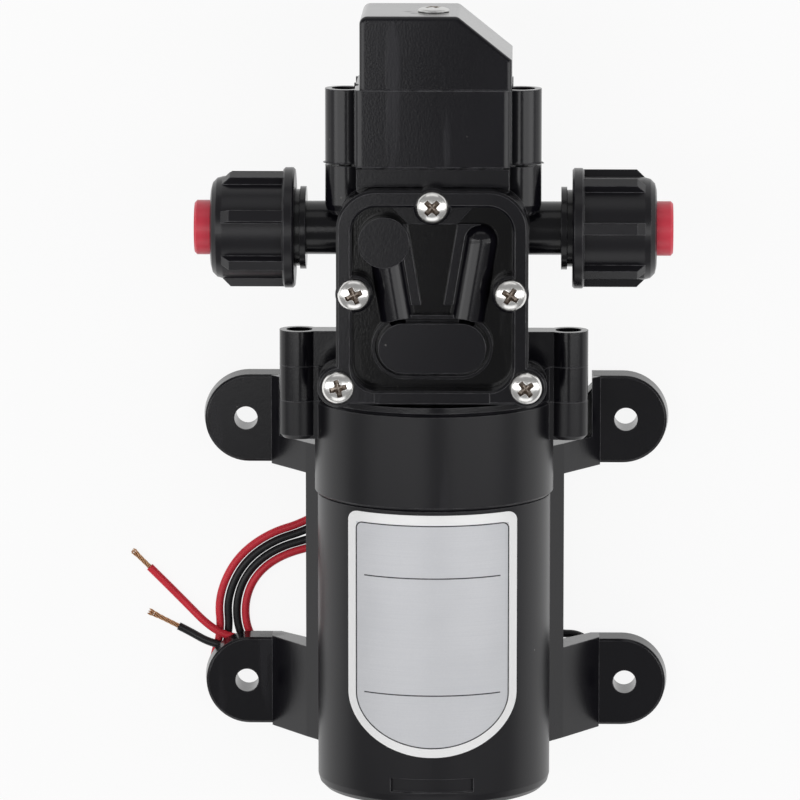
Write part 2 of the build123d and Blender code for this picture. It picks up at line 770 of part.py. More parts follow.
# Pump body: crankcase below, diaphragm seat in the front deck, ports above and the neck for the switch
with BuildPart() as crank_chamber:
    bar(along_y(0, plate_front_y + crankcase_length - crankcase_wall, shaft_z),
        crankcase_radius - crankcase_wall, crankcase_length - crankcase_wall + overrun)
    block(along_z(0, plate_front_y + crankcase_length / 2, deck_z), 2 * crankcase_radius,
          2 * crankcase_length, crankcase_radius, mode=Mode.SUBTRACT)
with BuildPart() as crankcase:
    bar(along_y(0, plate_front_y + crankcase_length, shaft_z), crankcase_radius, crankcase_length)
    chamfer(crankcase.edges().group_by(Axis.Y)[-1], length=seam_chamfer * 2)
    block(along_z(0, crank_y, body_front_z), 2 * crankcase_radius, 2 * crankcase_length, crankcase_radius,
          mode=Mode.SUBTRACT)
boss_root_x = crankcase_radius - crankcase_wall / 2
body_bosses = [side_boss(plate_front_y + side_boss_rise, side_boss_rise, boss_root_x, side, False)
               for side in (-1, 1)]
with BuildPart() as pump_body:
    extrude(head_outline(Plane.XY.offset(port_block_back_z), ears=False),
            amount=body_front_z - port_block_back_z)
    block(along_z(0, cover_bottom_y, port_block_back_z - overrun), 2 * body_half_width + 2 * overrun,
          2 * (plate_front_y - cover_bottom_y), lip_z - port_block_back_z + overrun, mode=Mode.SUBTRACT)
    extrude(head_outline(Plane.XY.offset(lip_z)), amount=body_lip_thickness)
    add(crankcase.part)
    add(body_bosses)
    for side in (-1, 1):
        rounded_bar(side * tube_x, tube_z, neck_top_y, tube_diameter / 2, tube_foot_length, tube_foot_round)
        bar(along_x(side, body_half_width - body_corner), port_pipe_diameter / 2,
            thread_start_x - body_half_width + body_corner)
        bar(along_x(side, thread_start_x), thread_diameter / 2, thread_ridge)
        bar(along_x(side, thread_start_x), spigot_diameter / 2, spigot_end_x - thread_start_x)
    block(along_y(0, neck_top_y, (neck_front_z + neck_back_z) / 2), 2 * neck_half_width,
          neck_front_z - neck_back_z, neck_length - slip_gap)
    block(along_y(0, neck_top_y, (body_front_z + neck_back_z) / 2), 2 * neck_half_width,
          body_front_z - neck_back_z, neck_length + body_corner)
    add(crank_chamber.part, mode=Mode.SUBTRACT)
    bar(along_z(0, crank_y, shaft_z), diaphragm_bore, body_front_z - shaft_z, mode=Mode.SUBTRACT)
    bar(along_z(0, crank_y, bead_floor_z), diaphragm_diameter / 2 + slip_gap, body_deck, mode=Mode.SUBTRACT)
    for x, y in cover_screw_places:
        bar(along_z(x, y, cover_front_z - screw_length - slip_gap), screw_diameter / 2 + press_gap,
            screw_length, mode=Mode.SUBTRACT)
    for side in (-1, 1):
        bar(along_z(side * channel_top_x, channel_top_y, port_z), channel_bore / 2, body_front_z,
            mode=Mode.SUBTRACT)
        bar(along_x(side, channel_top_x - channel_bore), port_bore / 2, spigot_end_x, mode=Mode.SUBTRACT)
        bar(along_x(side, hose_stop_x), hose_diameter / 2 + hose_clearance, spigot_end_x, mode=Mode.SUBTRACT)
        bar(along_x(side, spigot_end_x - o_ring_length), o_ring_diameter / 2 + slip_gap, spigot_end_x,
            mode=Mode.SUBTRACT)
        bar(along_y(side * tube_x, neck_top_y + overrun, tube_z), screw_diameter / 2 + press_gap,
            switch_screw_length, mode=Mode.SUBTRACT)
        bar(along_y(side * side_boss_x, plate_front_y + side_boss_rise + overrun, side_boss_z),
            screw_diameter / 2 + slip_gap, side_boss_rise + 2 * overrun, mode=Mode.SUBTRACT)
        bar(along_y(side * side_boss_x, plate_front_y + side_boss_rise + overrun, side_boss_z),
            side_boss_pocket / 2, side_boss_pocket_depth + overrun, mode=Mode.SUBTRACT)
    bar(along_y(sensor_x, neck_top_y + overrun, sensor_z), sensor_diameter / 2 + slip_gap,
        sensor_pocket + overrun, mode=Mode.SUBTRACT)
    bar(along_y(channel_top_x, neck_top_y, sensor_z + channel_bore / 2), sense_bore / 2,
        neck_top_y - channel_top_y, mode=Mode.SUBTRACT)
save(pump_body.part, "pump_body")

# Head gasket: flat sheet between body and cover
with BuildPart() as head_gasket:
    extrude(head_outline(Plane.XY.offset(body_front_z), inset=gasket_inset), amount=gasket_thickness)
    bar(along_z(0, crank_y, body_front_z - overrun), diaphragm_diameter / 2 + slip_gap,
        gasket_thickness + 2 * overrun, mode=Mode.SUBTRACT)
    for x, y in cover_screw_places:
        bar(along_z(x, y, body_front_z - overrun), screw_diameter / 2 + slip_gap,
            gasket_thickness + 2 * overrun, mode=Mode.SUBTRACT)
    for side in (-1, 1):
        bar(along_z(side * channel_top_x, channel_top_y, body_front_z - overrun), channel_bore / 2,
            gasket_thickness + 2 * overrun, mode=Mode.SUBTRACT)
save(head_gasket.part, "head_gasket")

# Head cover, the part with the most moulded detail: a framed recess with five screw bosses, two channels
# that rise in a V from the valve chamber to the ports, and the pill-shaped chamber in its ring
recess_left = body_half_width - cover_rim_side
recess_bottom_y = cover_bottom_y + cover_rim_bottom
recess_top_y = cover_top_y - cover_rim_top
channel_axis_z = cover_floor_z + channel_axis_rise
with BuildPart() as head_cover:
    extrude(head_outline(Plane.XY.offset(cover_back_z)), amount=cover_floor)
    for level, height, taper in (
        (cover_floor_z, cover_front_z - cover_edge - cover_floor_z, 0),
        (cover_front_z - cover_edge, cover_edge, 45),
    ):
        with BuildSketch(Plane.XY.offset(level)) as rim:
            add(head_outline(Plane.XY))
            with Locations((0, (recess_top_y + recess_bottom_y) / 2)):
                RectangleRounded(2 * recess_left, recess_top_y - recess_bottom_y, cover_recess_corner,
                                 mode=Mode.SUBTRACT)
            with Locations(*cover_screw_places):
                Circle(cover_boss_diameter / 2)
        extrude(rim.sketch, amount=height, taper=taper)
    flare = [
        (-top_boss_flare / 2, cover_top_screw_y - top_boss_drop),
        (top_boss_flare / 2, cover_top_screw_y - top_boss_drop),
        (top_boss_flare / 2 + top_boss_drop, recess_top_y + cover_edge),
        (-top_boss_flare / 2 - top_boss_drop, recess_top_y + cover_edge),
    ]
    prism(Plane.XY.offset(cover_floor_z - cover_edge), flare, pill_ring_rise)
    block(along_z(0, cover_bottom_y + cover_rim_bottom / 2, cover_front_z - cover_edge), strip_width,
          strip_height, cover_edge + strip_rise)
    for side in (-1, 1):
        axis_line = Vector(side * (channel_foot_x - channel_top_x), channel_foot_y - channel_top_y, 0)
        channel_plane = Plane(origin=(side * channel_top_x, channel_top_y, channel_axis_z),
                              x_dir=(0, 0, 1), z_dir=axis_line)
        bar(channel_plane, channel_diameter / 2, axis_line.length)
        ledge = [
            (side * ledge_top_x, channel_top_y + channel_diameter / 2),
            (side * channel_top_x, channel_top_y + channel_diameter / 2),
            (side * channel_foot_x, ledge_foot_y),
            (side * ledge_foot_x, ledge_foot_y),
        ]
        prism(Plane.XY.offset(cover_floor_z - cover_edge), ledge, ledge_rise + cover_edge)
    bar(along_z(-channel_top_x, channel_top_y, cover_floor_z - cover_edge), channel_disc_diameter / 2,
        channel_disc_rise + cover_edge)
    with Locations((channel_top_x, channel_top_y, channel_axis_z)):
        Sphere(channel_diameter / 2)
    with BuildSketch(Plane.XY.offset(cover_floor_z - cover_edge)) as ring:
        with Locations((0, pill_y)):
            SlotOverall(pill_ring_width, pill_ring_height)
    extrude(ring.sketch, amount=pill_ring_rise + cover_edge)
    with BuildSketch(Plane.XY.offset(cover_floor_z + pill_groove_floor)) as groove:
        with Locations((0, pill_y)):
            SlotOverall(pill_ring_width - 2 * pill_ring_wall, pill_ring_height - 2 * pill_ring_wall)
            SlotOverall(pill_width, pill_height, mode=Mode.SUBTRACT)
    extrude(groove.sketch, amount=pill_ring_rise + channel_diameter, mode=Mode.SUBTRACT)
    with BuildSketch(Plane.XY.offset(cover_floor_z - cover_edge)) as pill:
        with Locations((0, pill_y)):
            SlotOverall(pill_width, pill_height)
    extrude(pill.sketch, amount=pill_rise + cover_edge)
    block(along_z(0, cover_screw_y, cover_back_z - channel_diameter), 4 * body_half_width, 2 * cover_top_y,
          channel_diameter, mode=Mode.SUBTRACT)
    with BuildSketch(Plane.XY.offset(cover_back_z)) as chamber:
        with Locations((0, pill_y)):
            SlotOverall(pill_width - 2 * chamber_wall, pill_height - 2 * chamber_wall)
            Rectangle(chamber_divider, pill_height, mode=Mode.SUBTRACT)
    extrude(chamber.sketch, amount=cover_floor + pill_rise - chamber_wall, mode=Mode.SUBTRACT)
    for side in (-1, 1):
        axis_line = Vector(side * (channel_foot_x - channel_top_x), channel_foot_y - channel_top_y, 0)
        channel_plane = Plane(origin=(side * channel_top_x, channel_top_y, channel_axis_z),
                              x_dir=(0, 0, 1), z_dir=axis_line)
        bar(channel_plane, channel_bore / 2, axis_line.length + chamber_wall + pill_ring_wall * 2,
            mode=Mode.SUBTRACT)
        bar(along_z(side * channel_top_x, channel_top_y, cover_back_z), channel_bore / 2,
            channel_axis_z - cover_back_z, mode=Mode.SUBTRACT)
    for x, y in cover_screw_places:
        bar(along_z(x, y, cover_back_z - overrun), screw_diameter / 2 + slip_gap,
            cover_front_z - cover_back_z + 2 * overrun, mode=Mode.SUBTRACT)
save(head_cover.part, "head_cover")


# Valve plate: a round plug in the deck with a seat for each umbrella valve
inlet_x = -valve_pitch / 2
outlet_x = valve_pitch / 2
with BuildPart() as valve_plate:
    bar(along_z(0, crank_y, seat_z), diaphragm_diameter / 2, valve_plate_thickness)
    for x, cap_side_z, bulb_side_z in (
        (inlet_x, seat_z, cover_back_z - valve_bulb_recess),
        (outlet_x, cover_back_z - valve_recess_depth, seat_z),
    ):
        bar(along_z(x, valve_y, cap_side_z), valve_recess_diameter / 2, valve_recess_depth,
            mode=Mode.SUBTRACT)
        bar(along_z(x, valve_y, bulb_side_z), valve_bulb_diameter / 2 + slip_gap, valve_bulb_recess,
            mode=Mode.SUBTRACT)
        bar(along_z(x, valve_y, seat_z), valve_stem_diameter / 2 + press_gap, valve_plate_thickness,
            mode=Mode.SUBTRACT)
        with BuildSketch(along_z(x, valve_y, seat_z)) as holes:
            with PolarLocations(valve_hole_circle / 2, valve_hole_count):
                Circle(valve_hole_diameter / 2)
        extrude(holes.sketch, amount=valve_plate_thickness, mode=Mode.SUBTRACT)
save(valve_plate.part, "valve_plate")

# Umbrella valves: the inlet opens towards the diaphragm and the outlet towards the cover
stem_length = valve_plate_thickness - valve_recess_depth - valve_bulb_recess
with BuildPart() as inlet_valve:
    bar(along_z(inlet_x, valve_y, seat_z + valve_recess_depth - valve_cap_thickness), valve_cap_diameter / 2,
        valve_cap_thickness)
    bar(along_z(inlet_x, valve_y, seat_z + valve_recess_depth), valve_stem_diameter / 2, stem_length)
    bar(along_z(inlet_x, valve_y, cover_back_z - valve_bulb_recess), valve_bulb_diameter / 2,
        valve_bulb_height)
save(inlet_valve.part, "inlet_valve")
with BuildPart() as outlet_valve:
    bar(along_z(outlet_x, valve_y, cover_back_z - valve_recess_depth), valve_cap_diameter / 2,
        valve_cap_thickness)
    bar(along_z(outlet_x, valve_y, seat_z + valve_bulb_recess), valve_stem_diameter / 2, stem_length)
    bar(along_z(outlet_x, valve_y, seat_z + valve_bulb_recess - valve_bulb_height), valve_bulb_diameter / 2,
        valve_bulb_height)
save(outlet_valve.part, "outlet_valve")

# Diaphragm at the lower end of its stroke, with the retainer and screw that hold it on the rod
foot_top_z = rest_eye_z + rod_length
retainer_z = foot_top_z + diaphragm_centre
screw_hole = retainer_screw_diameter / 2 + slip_gap
diaphragm_foot = rod_foot_diameter / 2
with BuildPart() as diaphragm:
    turned(STROKE_HALF, STROKE_AXIS, [
        (foot_top_z, screw_hole),
        (foot_top_z, diaphragm_foot),
        (bead_floor_z + diaphragm_skin / 2, diaphragm_bore),
        (bead_floor_z, diaphragm_bore),
        (bead_floor_z, diaphragm_diameter / 2),
        (seat_z, diaphragm_diameter / 2),
        (seat_z, diaphragm_bore),
        (bead_floor_z + 2 * diaphragm_skin, diaphragm_bore),
        (retainer_z, diaphragm_foot),
        (retainer_z, screw_hole),
    ])
save(diaphragm.part, "diaphragm")
with BuildPart() as diaphragm_retainer:
    turned(STROKE_HALF, STROKE_AXIS, [
        (retainer_z, screw_hole),
        (retainer_z, retainer_diameter / 2),
        (retainer_z + retainer_height, retainer_diameter / 2),
        (retainer_z + retainer_height, retainer_screw_head / 2 + slip_gap),
        (retainer_z + retainer_height - retainer_screw_height, screw_hole),
    ])
save(diaphragm_retainer.part, "diaphragm_retainer")
with BuildPart() as retainer_screw:
    turned(STROKE_HALF, STROKE_AXIS, [
        (foot_top_z - retainer_screw_length, 0),
        (foot_top_z - retainer_screw_length, retainer_screw_diameter / 2),
        (retainer_z + retainer_height - retainer_screw_height, retainer_screw_diameter / 2),
        (retainer_z + retainer_height, retainer_screw_head / 2),
        (retainer_z + retainer_height, 0),
    ])
save(retainer_screw.part, "retainer_screw")

# Connecting rod: eye round the crank bearing, neck and the foot under the diaphragm
rod_front_y = crank_y + rod_width / 2
with BuildPart() as connecting_rod:
    bar(along_y(0, rod_front_y, rest_eye_z), rod_eye_diameter / 2, rod_width)
    block(along_z(0, crank_y, rest_eye_z), rod_neck, rod_width, rod_length)
    bar(along_z(0, crank_y, foot_top_z - rod_foot_height), rod_foot_diameter / 2, rod_foot_height)
    bar(along_y(0, rod_front_y + overrun, rest_eye_z), crank_bearing_diameter / 2 + press_gap,
        rod_width + 2 * overrun, mode=Mode.SUBTRACT)
    bar(along_z(0, crank_y, foot_top_z - retainer_screw_length - slip_gap),
        retainer_screw_diameter / 2 + press_gap, retainer_screw_length + overrun, mode=Mode.SUBTRACT)
save(connecting_rod.part, "connecting_rod")

# Bearings, each as an inner and an outer ring
bearings = (
    ("main_bearing", bearing_front_y, shaft_z, shaft_diameter, main_bearing_diameter, main_bearing_width),
    ("crank_bearing", crank_y + crank_bearing_width / 2, rest_eye_z, crank_pin_diameter,
     crank_bearing_diameter, crank_bearing_width),
)
for bearing_name, front_y, centre_z, bore, outside, width in bearings:
    split_radius = (bore + (outside - bore) * race_share) / 2
    with BuildPart() as inner_ring:
        sleeve(along_y(0, front_y, centre_z), split_radius - running_gap / 2, bore / 2 + press_gap, width)
    save(inner_ring.part, f"{bearing_name}_inner")
    with BuildPart() as outer_ring:
        sleeve(along_y(0, front_y, centre_z), outside / 2, split_radius + running_gap / 2, width)
    save(outer_ring.part, f"{bearing_name}_outer")

# Eccentric: crank pin off the shaft's centre with a half-round counterweight behind it
weight_front_y = crank_y - diaphragm_foot - counterweight_gap
with BuildPart() as eccentric:
    bar(along_y(0, shaft_front_y, rest_eye_z), crank_pin_diameter / 2, shaft_front_y - weight_front_y)
    bar(along_y(0, weight_front_y, shaft_z), counterweight_radius, counterweight_length)
    block(along_y(0, weight_front_y + overrun, shaft_z - crank_pin_diameter / 2 - counterweight_radius),
          2 * counterweight_radius, 2 * counterweight_radius, counterweight_length + 2 * overrun,
          mode=Mode.SUBTRACT)
    bar(along_y(0, shaft_front_y + overrun, shaft_z), shaft_diameter / 2 + press_gap,
        shaft_front_y + 2 * overrun - plate_front_y, mode=Mode.SUBTRACT)
save(eccentric.part, "eccentric")

# Motor shaft
with BuildPart() as motor_shaft:
    bar(along_y(0, shaft_front_y, shaft_z), shaft_diameter / 2, shaft_front_y - shaft_rear_y)
save(motor_shaft.part, "motor_shaft")

# Motor can: drawn steel cup with the front bush in its hub
hub_front_y = can_front_y + hub_length
can_bore = can_radius - can_wall
with BuildPart() as motor_can:
    bar(along_y(0, can_front_y, shaft_z), can_radius, can_length)
    bar(along_y(0, hub_front_y, shaft_z), hub_diameter / 2, hub_length)
    bar(along_y(0, can_front_y - can_wall, shaft_z), can_bore, can_length, mode=Mode.SUBTRACT)
    bar(along_y(0, hub_front_y - hub_lip, shaft_z), bush_diameter / 2 + press_gap,
        hub_length - hub_lip + can_wall + overrun, mode=Mode.SUBTRACT)
    bar(along_y(0, hub_front_y + overrun, shaft_z), shaft_diameter / 2 + running_gap,
        hub_lip + 2 * overrun, mode=Mode.SUBTRACT)
    for side in (-1, 1):
        bar(along_y(side * motor_screw_pitch / 2, can_front_y + overrun, shaft_z),
            motor_screw_diameter / 2 + press_gap, can_wall + 2 * overrun, mode=Mode.SUBTRACT)
save(motor_can.part, "motor_can")

# Magnets: two curved segments above and below the armature
with BuildPart() as motor_magnets:
    sleeve(along_y(0, magnet_front_y, shaft_z), can_bore - press_gap, can_bore - magnet_thickness,
           magnet_length)
    block(along_y(0, magnet_front_y + overrun, shaft_z), can_diameter,
          can_diameter * math.sin(math.radians(90 - magnet_sweep / 2)), magnet_length + 2 * overrun,
          mode=Mode.SUBTRACT)
save(motor_magnets.part, "motor_magnets")

# Armature stack, its windings and the commutator
winding_radius = armature_radius - winding_clearance
slot_floor = armature_radius - slot_depth
with BuildPart() as armature:
    sleeve(along_y(0, armature_front_y, shaft_z), armature_radius, shaft_diameter / 2 + press_gap,
           armature_length)
    with BuildSketch(along_y(0, armature_front_y + overrun, shaft_z)) as slots:
        with PolarLocations(slot_floor + slot_depth / 2 + overrun / 2, slot_count):
            Rectangle(slot_depth + overrun, slot_width)
    extrude(slots.sketch, amount=armature_length + 2 * overrun, mode=Mode.SUBTRACT)
save(armature.part, "armature")
with BuildPart() as windings:
    with BuildSketch(along_y(0, armature_front_y, shaft_z)) as slot_wires:
        with PolarLocations((slot_floor + winding_radius) / 2, slot_count):
            Rectangle(winding_radius - slot_floor - 2 * slot_air, slot_width - 2 * slot_air)
    extrude(slot_wires.sketch, amount=armature_length)
    for front_y in (armature_front_y + winding_length, armature_rear_y):
        sleeve(along_y(0, front_y, shaft_z), winding_radius, winding_core, winding_length)
save(windings.part, "windings")
commutator_front_y = armature_rear_y - winding_length - commutator_gap
commutator_y = commutator_front_y - commutator_length / 2
with BuildPart() as commutator:
    sleeve(along_y(0, commutator_front_y, shaft_z), commutator_diameter / 2, shaft_diameter / 2 + press_gap,
           commutator_length)
save(commutator.part, "commutator")

# Rear end cap with the brush holders, the carbon brushes and their springs
end_cap_front_y = can_rear_y + end_cap_thickness
brush_start = commutator_diameter / 2 + journal_gap
brush_end = brush_start + brush_length
holder_start = commutator_diameter / 2 + holder_standoff
holder_end = brush_end + brush_spring_length + holder_wall
holder_front_y = commutator_y + brush_width / 2 + holder_wall
with BuildPart() as motor_end_cap:
    bar(along_y(0, end_cap_front_y, shaft_z), can_bore - press_gap, end_cap_thickness)
    bar(along_y(0, can_rear_y, shaft_z), rear_hub_diameter / 2, rear_hub_length)
    for side in (-1, 1):
        block(along_y(side * (holder_start + holder_end) / 2, holder_front_y, shaft_z),
              holder_end - holder_start, brush_height + 2 * holder_wall, holder_front_y - end_cap_front_y)
        block(along_y(side * (holder_start + brush_end + brush_spring_length) / 2,
                      commutator_y + brush_width / 2 + slip_gap, shaft_z),
              brush_end + brush_spring_length - holder_start, brush_height + 2 * slip_gap,
              brush_width + 2 * slip_gap, mode=Mode.SUBTRACT)
    bar(along_y(0, end_cap_front_y + overrun, shaft_z), bush_diameter / 2 + press_gap,
        end_cap_front_y + overrun - rear_hub_y - hub_lip, mode=Mode.SUBTRACT)
save(motor_end_cap.part, "motor_end_cap")
with BuildPart() as carbon_brushes:
    for side in (-1, 1):
        block(along_y(side * (brush_start + brush_end) / 2, commutator_y + brush_width / 2, shaft_z),
              brush_length, brush_height, brush_width)
save(carbon_brushes.part, "carbon_brushes")
with BuildPart() as brush_springs:
    for side in (-1, 1):
        spring_plane = Plane(origin=(side * brush_end, commutator_y, shaft_z), x_dir=(0, 1, 0),
                             z_dir=(side, 0, 0))
        sleeve(spring_plane, brush_spring_diameter / 2, brush_spring_diameter / 4, brush_spring_length)
save(brush_springs.part, "brush_springs")

# Sintered bushes, one in each end of the motor
for bush_name, bush_front_y in (("front_bushing", hub_front_y - hub_lip),
                                ("rear_bushing", rear_hub_y + hub_lip + bush_length)):
    with BuildPart() as bush:
        sleeve(along_y(0, bush_front_y, shaft_z), bush_diameter / 2, shaft_diameter / 2 + journal_gap,
               bush_length)
    save(bush.part, bush_name)

# Hose ports: sealing ring, spacer, toothed grab ring, release collet and union nut on each side
nut_radius = nut_diameter / 2
flange_end_x = nut_start_x + nut_flange_length
mouth_x = nut_end_x - nut_mouth_lip
mouth_radius = collet_diameter / 2 + slip_gap
spacer_end_x = spigot_end_x + spacer_length
for side, side_name, first_rib in ((-1, "left", left_rib_angle), (1, "right", right_rib_angle)):
    with BuildPart() as o_ring:
        turned(PORT_HALF, PORT_AXIS, [
            (side * x, radius) for x, radius in (
                (spigot_end_x - o_ring_length + o_ring_edge, o_ring_diameter / 2),
                (spigot_end_x - o_ring_edge, o_ring_diameter / 2),
                (spigot_end_x, (o_ring_diameter + o_ring_bore) / 4),
                (spigot_end_x - o_ring_edge, o_ring_bore / 2),
                (spigot_end_x - o_ring_length + o_ring_edge, o_ring_bore / 2),
                (spigot_end_x - o_ring_length, (o_ring_diameter + o_ring_bore) / 4),
            )
        ])
    save(o_ring.part, f"{side_name}_o_ring")
    with BuildPart() as spacer:
        sleeve(along_x(side, spigot_end_x), grab_ring_diameter / 2, spacer_bore / 2, spacer_length)
    save(spacer.part, f"{side_name}_spacer")
    with BuildPart() as grab_ring:
        sleeve(along_x(side, spacer_end_x), grab_ring_diameter / 2, hose_diameter / 2 + hose_clearance,
               grab_ring_thickness)
        with BuildSketch(along_x(side, spacer_end_x - overrun)) as tooth_gaps:
            with PolarLocations(hose_diameter / 2, grab_tooth_count):
                Rectangle(spacer_bore - hose_diameter, grab_tooth_gap)
        extrude(tooth_gaps.sketch, amount=grab_ring_thickness + 2 * overrun, mode=Mode.SUBTRACT)
    save(grab_ring.part, f"{side_name}_grab_ring")
    with BuildPart() as collet:
        turned(PORT_HALF, PORT_AXIS, [
            (side * x, radius) for x, radius in (
                (mouth_x - collet_flange_length, collet_diameter / 2 - collet_wall),
                (mouth_x - collet_flange_length, collet_flange_diameter / 2),
                (mouth_x, collet_flange_diameter / 2),
                (mouth_x, collet_diameter / 2),
                (collet_end_x - collet_edge, collet_diameter / 2),
                (collet_end_x, collet_diameter / 2 - collet_edge),
                (collet_end_x, collet_diameter / 2 - collet_wall),
            )
        ])
    save(collet.part, f"{side_name}_release_collet")
    with BuildPart() as union_nut:
        nut_section = [
            (nut_start_x, nut_thread_bore / 2),
            (nut_start_x, nut_flange_diameter / 2 - seam_chamfer),
            (nut_start_x + seam_chamfer, nut_flange_diameter / 2),
            (flange_end_x - seam_chamfer, nut_flange_diameter / 2),
            (flange_end_x, nut_flange_diameter / 2 - seam_chamfer),
            (flange_end_x, nut_radius),
            *rounded_edge(nut_end_x, nut_radius, nut_end_round),
            (nut_end_x, mouth_radius),
            (mouth_x, mouth_radius),
            (mouth_x, nut_ledge_bore / 2),
            (nut_ledge_x, nut_ledge_bore / 2),
            (nut_ledge_x, nut_thread_bore / 2),
        ]
        turned(PORT_HALF, PORT_AXIS, [(side * x, radius) for x, radius in nut_section])
        rib_section = [
            (nut_start_x + nut_flange_length / 2, nut_radius - nut_mouth_lip / 2),
            (nut_start_x + nut_flange_length / 2, rib_diameter / 2),
            (rib_end_x - rib_taper, rib_diameter / 2),
            (rib_end_x, rib_diameter / 2 - rib_taper),
            (rib_end_x, nut_radius - nut_mouth_lip / 2),
        ]
        for rib in range(rib_count):
            angle = math.radians(first_rib + rib * 360 / rib_count)
            rib_plane = Plane(origin=(0, port_y, port_z), x_dir=(1, 0, 0),
                              z_dir=(0, -math.cos(angle), math.sin(angle)))
            prism(rib_plane, [(side * x, radius) for x, radius in rib_section], rib_width / 2, both=True)
    save(union_nut.part, f"{side_name}_union_nut")

# Pressure switch: housing with two screw tubes, plunger guide and post for the cap screw
switch_height = housing_front_z - housing_back_z
switch_mid_z = (housing_front_z + housing_back_z) / 2
housing_floor_y = housing_rear_y + housing_floor
plunger_tip_y = housing_floor_y + plunger_reach
microswitch_y = plunger_tip_y + button_height
cap_ceiling_y = cap_top_y - cap_wall
tube_floor_y = housing_rear_y + tube_floor
with BuildPart() as housing_box:
    block(along_y(0, housing_front_y, switch_mid_z), 2 * housing_half_width, switch_height, housing_length)
    fillet(housing_box.edges().filter_by(Axis.Y), radius=housing_corner)
with BuildPart() as switch_housing:
    add(housing_box.part)
    for side in (-1, 1):
        bar(along_y(side * tube_x, tube_top_y, tube_z), tube_diameter / 2, tube_top_y - housing_rear_y)
        for ridge_z in (housing_back_z + housing_corner + housing_ridge_width, switch_mid_z):
            block(along_y(side * housing_half_width, housing_front_y, ridge_z), 2 * housing_ridge,
                  housing_ridge_width, housing_length)
    block(along_y(0, housing_rear_y, switch_mid_z), 2 * (neck_half_width - housing_foot_inset),
          neck_front_z - neck_back_z - 2 * housing_foot_inset, switch_gap)
    block(along_y(0, housing_front_y + overrun, switch_mid_z), 2 * (housing_half_width - housing_wall),
          switch_height - 2 * housing_wall, housing_length + overrun - housing_floor, mode=Mode.SUBTRACT)
    for side in (-1, 1):
        block(along_y(side * (microswitch_width - rest_width) / 2, microswitch_y, sensor_z), rest_width,
              microswitch_depth, microswitch_y - housing_floor_y)
    bar(along_y(0, cap_ceiling_y - slip_gap, cap_screw_z), cap_post_diameter / 2,
        cap_ceiling_y - slip_gap - housing_floor_y)
    bar(along_y(0, cap_ceiling_y, cap_screw_z), screw_diameter / 2 + press_gap, cap_screw_length,
        mode=Mode.SUBTRACT)
    bar(along_y(sensor_x, housing_floor_y - plunger_guide, sensor_z), spring_pocket_diameter / 2,
        housing_floor, mode=Mode.SUBTRACT)
    bar(along_y(sensor_x, housing_floor_y + overrun, sensor_z), plunger_diameter / 2 + 2 * journal_gap,
        housing_floor, mode=Mode.SUBTRACT)
    for side in (-1, 1):
        bar(along_y(side * tube_x, tube_top_y + overrun, tube_z), tube_bore / 2,
            tube_top_y + overrun - tube_floor_y, mode=Mode.SUBTRACT)
        bar(along_y(side * tube_x, tube_floor_y + overrun, tube_z), screw_diameter / 2 + slip_gap,
            tube_floor + 2 * overrun, mode=Mode.SUBTRACT)
save(switch_housing.part, "switch_housing")

# Switch cap with its slanted corner
cap_depth = switch_height - 2 * seam_chamfer
cap_outline = [
    (cap_left_x, housing_front_y),
    (cap_right_x, housing_front_y),
    (cap_right_x, cap_top_y - cap_slope_drop),
    (cap_slope_x, cap_top_y),
    (cap_left_x, cap_top_y),
]
with BuildPart() as switch_cap:
    with BuildSketch(Plane.XY.offset(housing_back_z + seam_chamfer)) as cap_section:
        with BuildLine():
            Polyline(*cap_outline, close=True)
        make_face()
        fillet(cap_section.vertices().group_by(Axis.Y)[-1], radius=cap_corner)
    extrude(cap_section.sketch, amount=cap_depth)
    front_edges = switch_cap.edges().group_by(Axis.Z)[-1].sort_by(Axis.Y)[1:]
    fillet(front_edges, radius=cap_edge)
    with BuildSketch(Plane.XY.offset(housing_back_z + seam_chamfer + cap_wall)) as cap_room:
        with BuildLine():
            Polyline((cap_left_x + cap_wall, housing_front_y - overrun),
                     (cap_right_x - cap_wall, housing_front_y - overrun),
                     (cap_right_x - cap_wall, cap_top_y - cap_slope_drop - cap_wall / 2),
                     (cap_slope_x - cap_wall / 2, cap_ceiling_y),
                     (cap_left_x + cap_wall, cap_ceiling_y), close=True)
        make_face()
    extrude(cap_room.sketch, amount=cap_depth - 2 * cap_wall, mode=Mode.SUBTRACT)
    bar(along_y(0, cap_top_y + overrun, cap_screw_z), screw_diameter / 2 + slip_gap, cap_wall + 2 * overrun,
        mode=Mode.SUBTRACT)
save(switch_cap.part, "switch_cap")

# Inside the switch: rubber sensing diaphragm, plunger, return spring, microswitch and its blades
sensor_floor_y = neck_top_y - sensor_pocket
sensor_radius = sensor_diameter / 2
plunger_top_y = neck_top_y + plunger_foot_length
SENSOR_AXIS = Axis((sensor_x, 0, sensor_z), (0, 1, 0))
SENSOR_HALF = Plane(origin=(sensor_x, 0, sensor_z), x_dir=(0, 1, 0), z_dir=(1, 0, 0))
with BuildPart() as switch_diaphragm:
    turned(SENSOR_HALF, SENSOR_AXIS, [
        (neck_top_y, 0),
        (neck_top_y, sensor_radius),
        (sensor_floor_y, sensor_radius),
        (sensor_floor_y, sensor_radius - sensor_bead),
        (neck_top_y - sensor_skin, sensor_radius - sensor_bead),
        (neck_top_y - sensor_skin, 0),
    ])
save(switch_diaphragm.part, "switch_diaphragm")
with BuildPart() as switch_plunger:
    bar(along_y(sensor_x, plunger_top_y, sensor_z), plunger_foot_diameter / 2, plunger_foot_length)
    bar(along_y(sensor_x, plunger_tip_y, sensor_z), plunger_diameter / 2, plunger_tip_y - plunger_top_y)
save(switch_plunger.part, "switch_plunger")
spring_end_y = housing_floor_y - plunger_guide
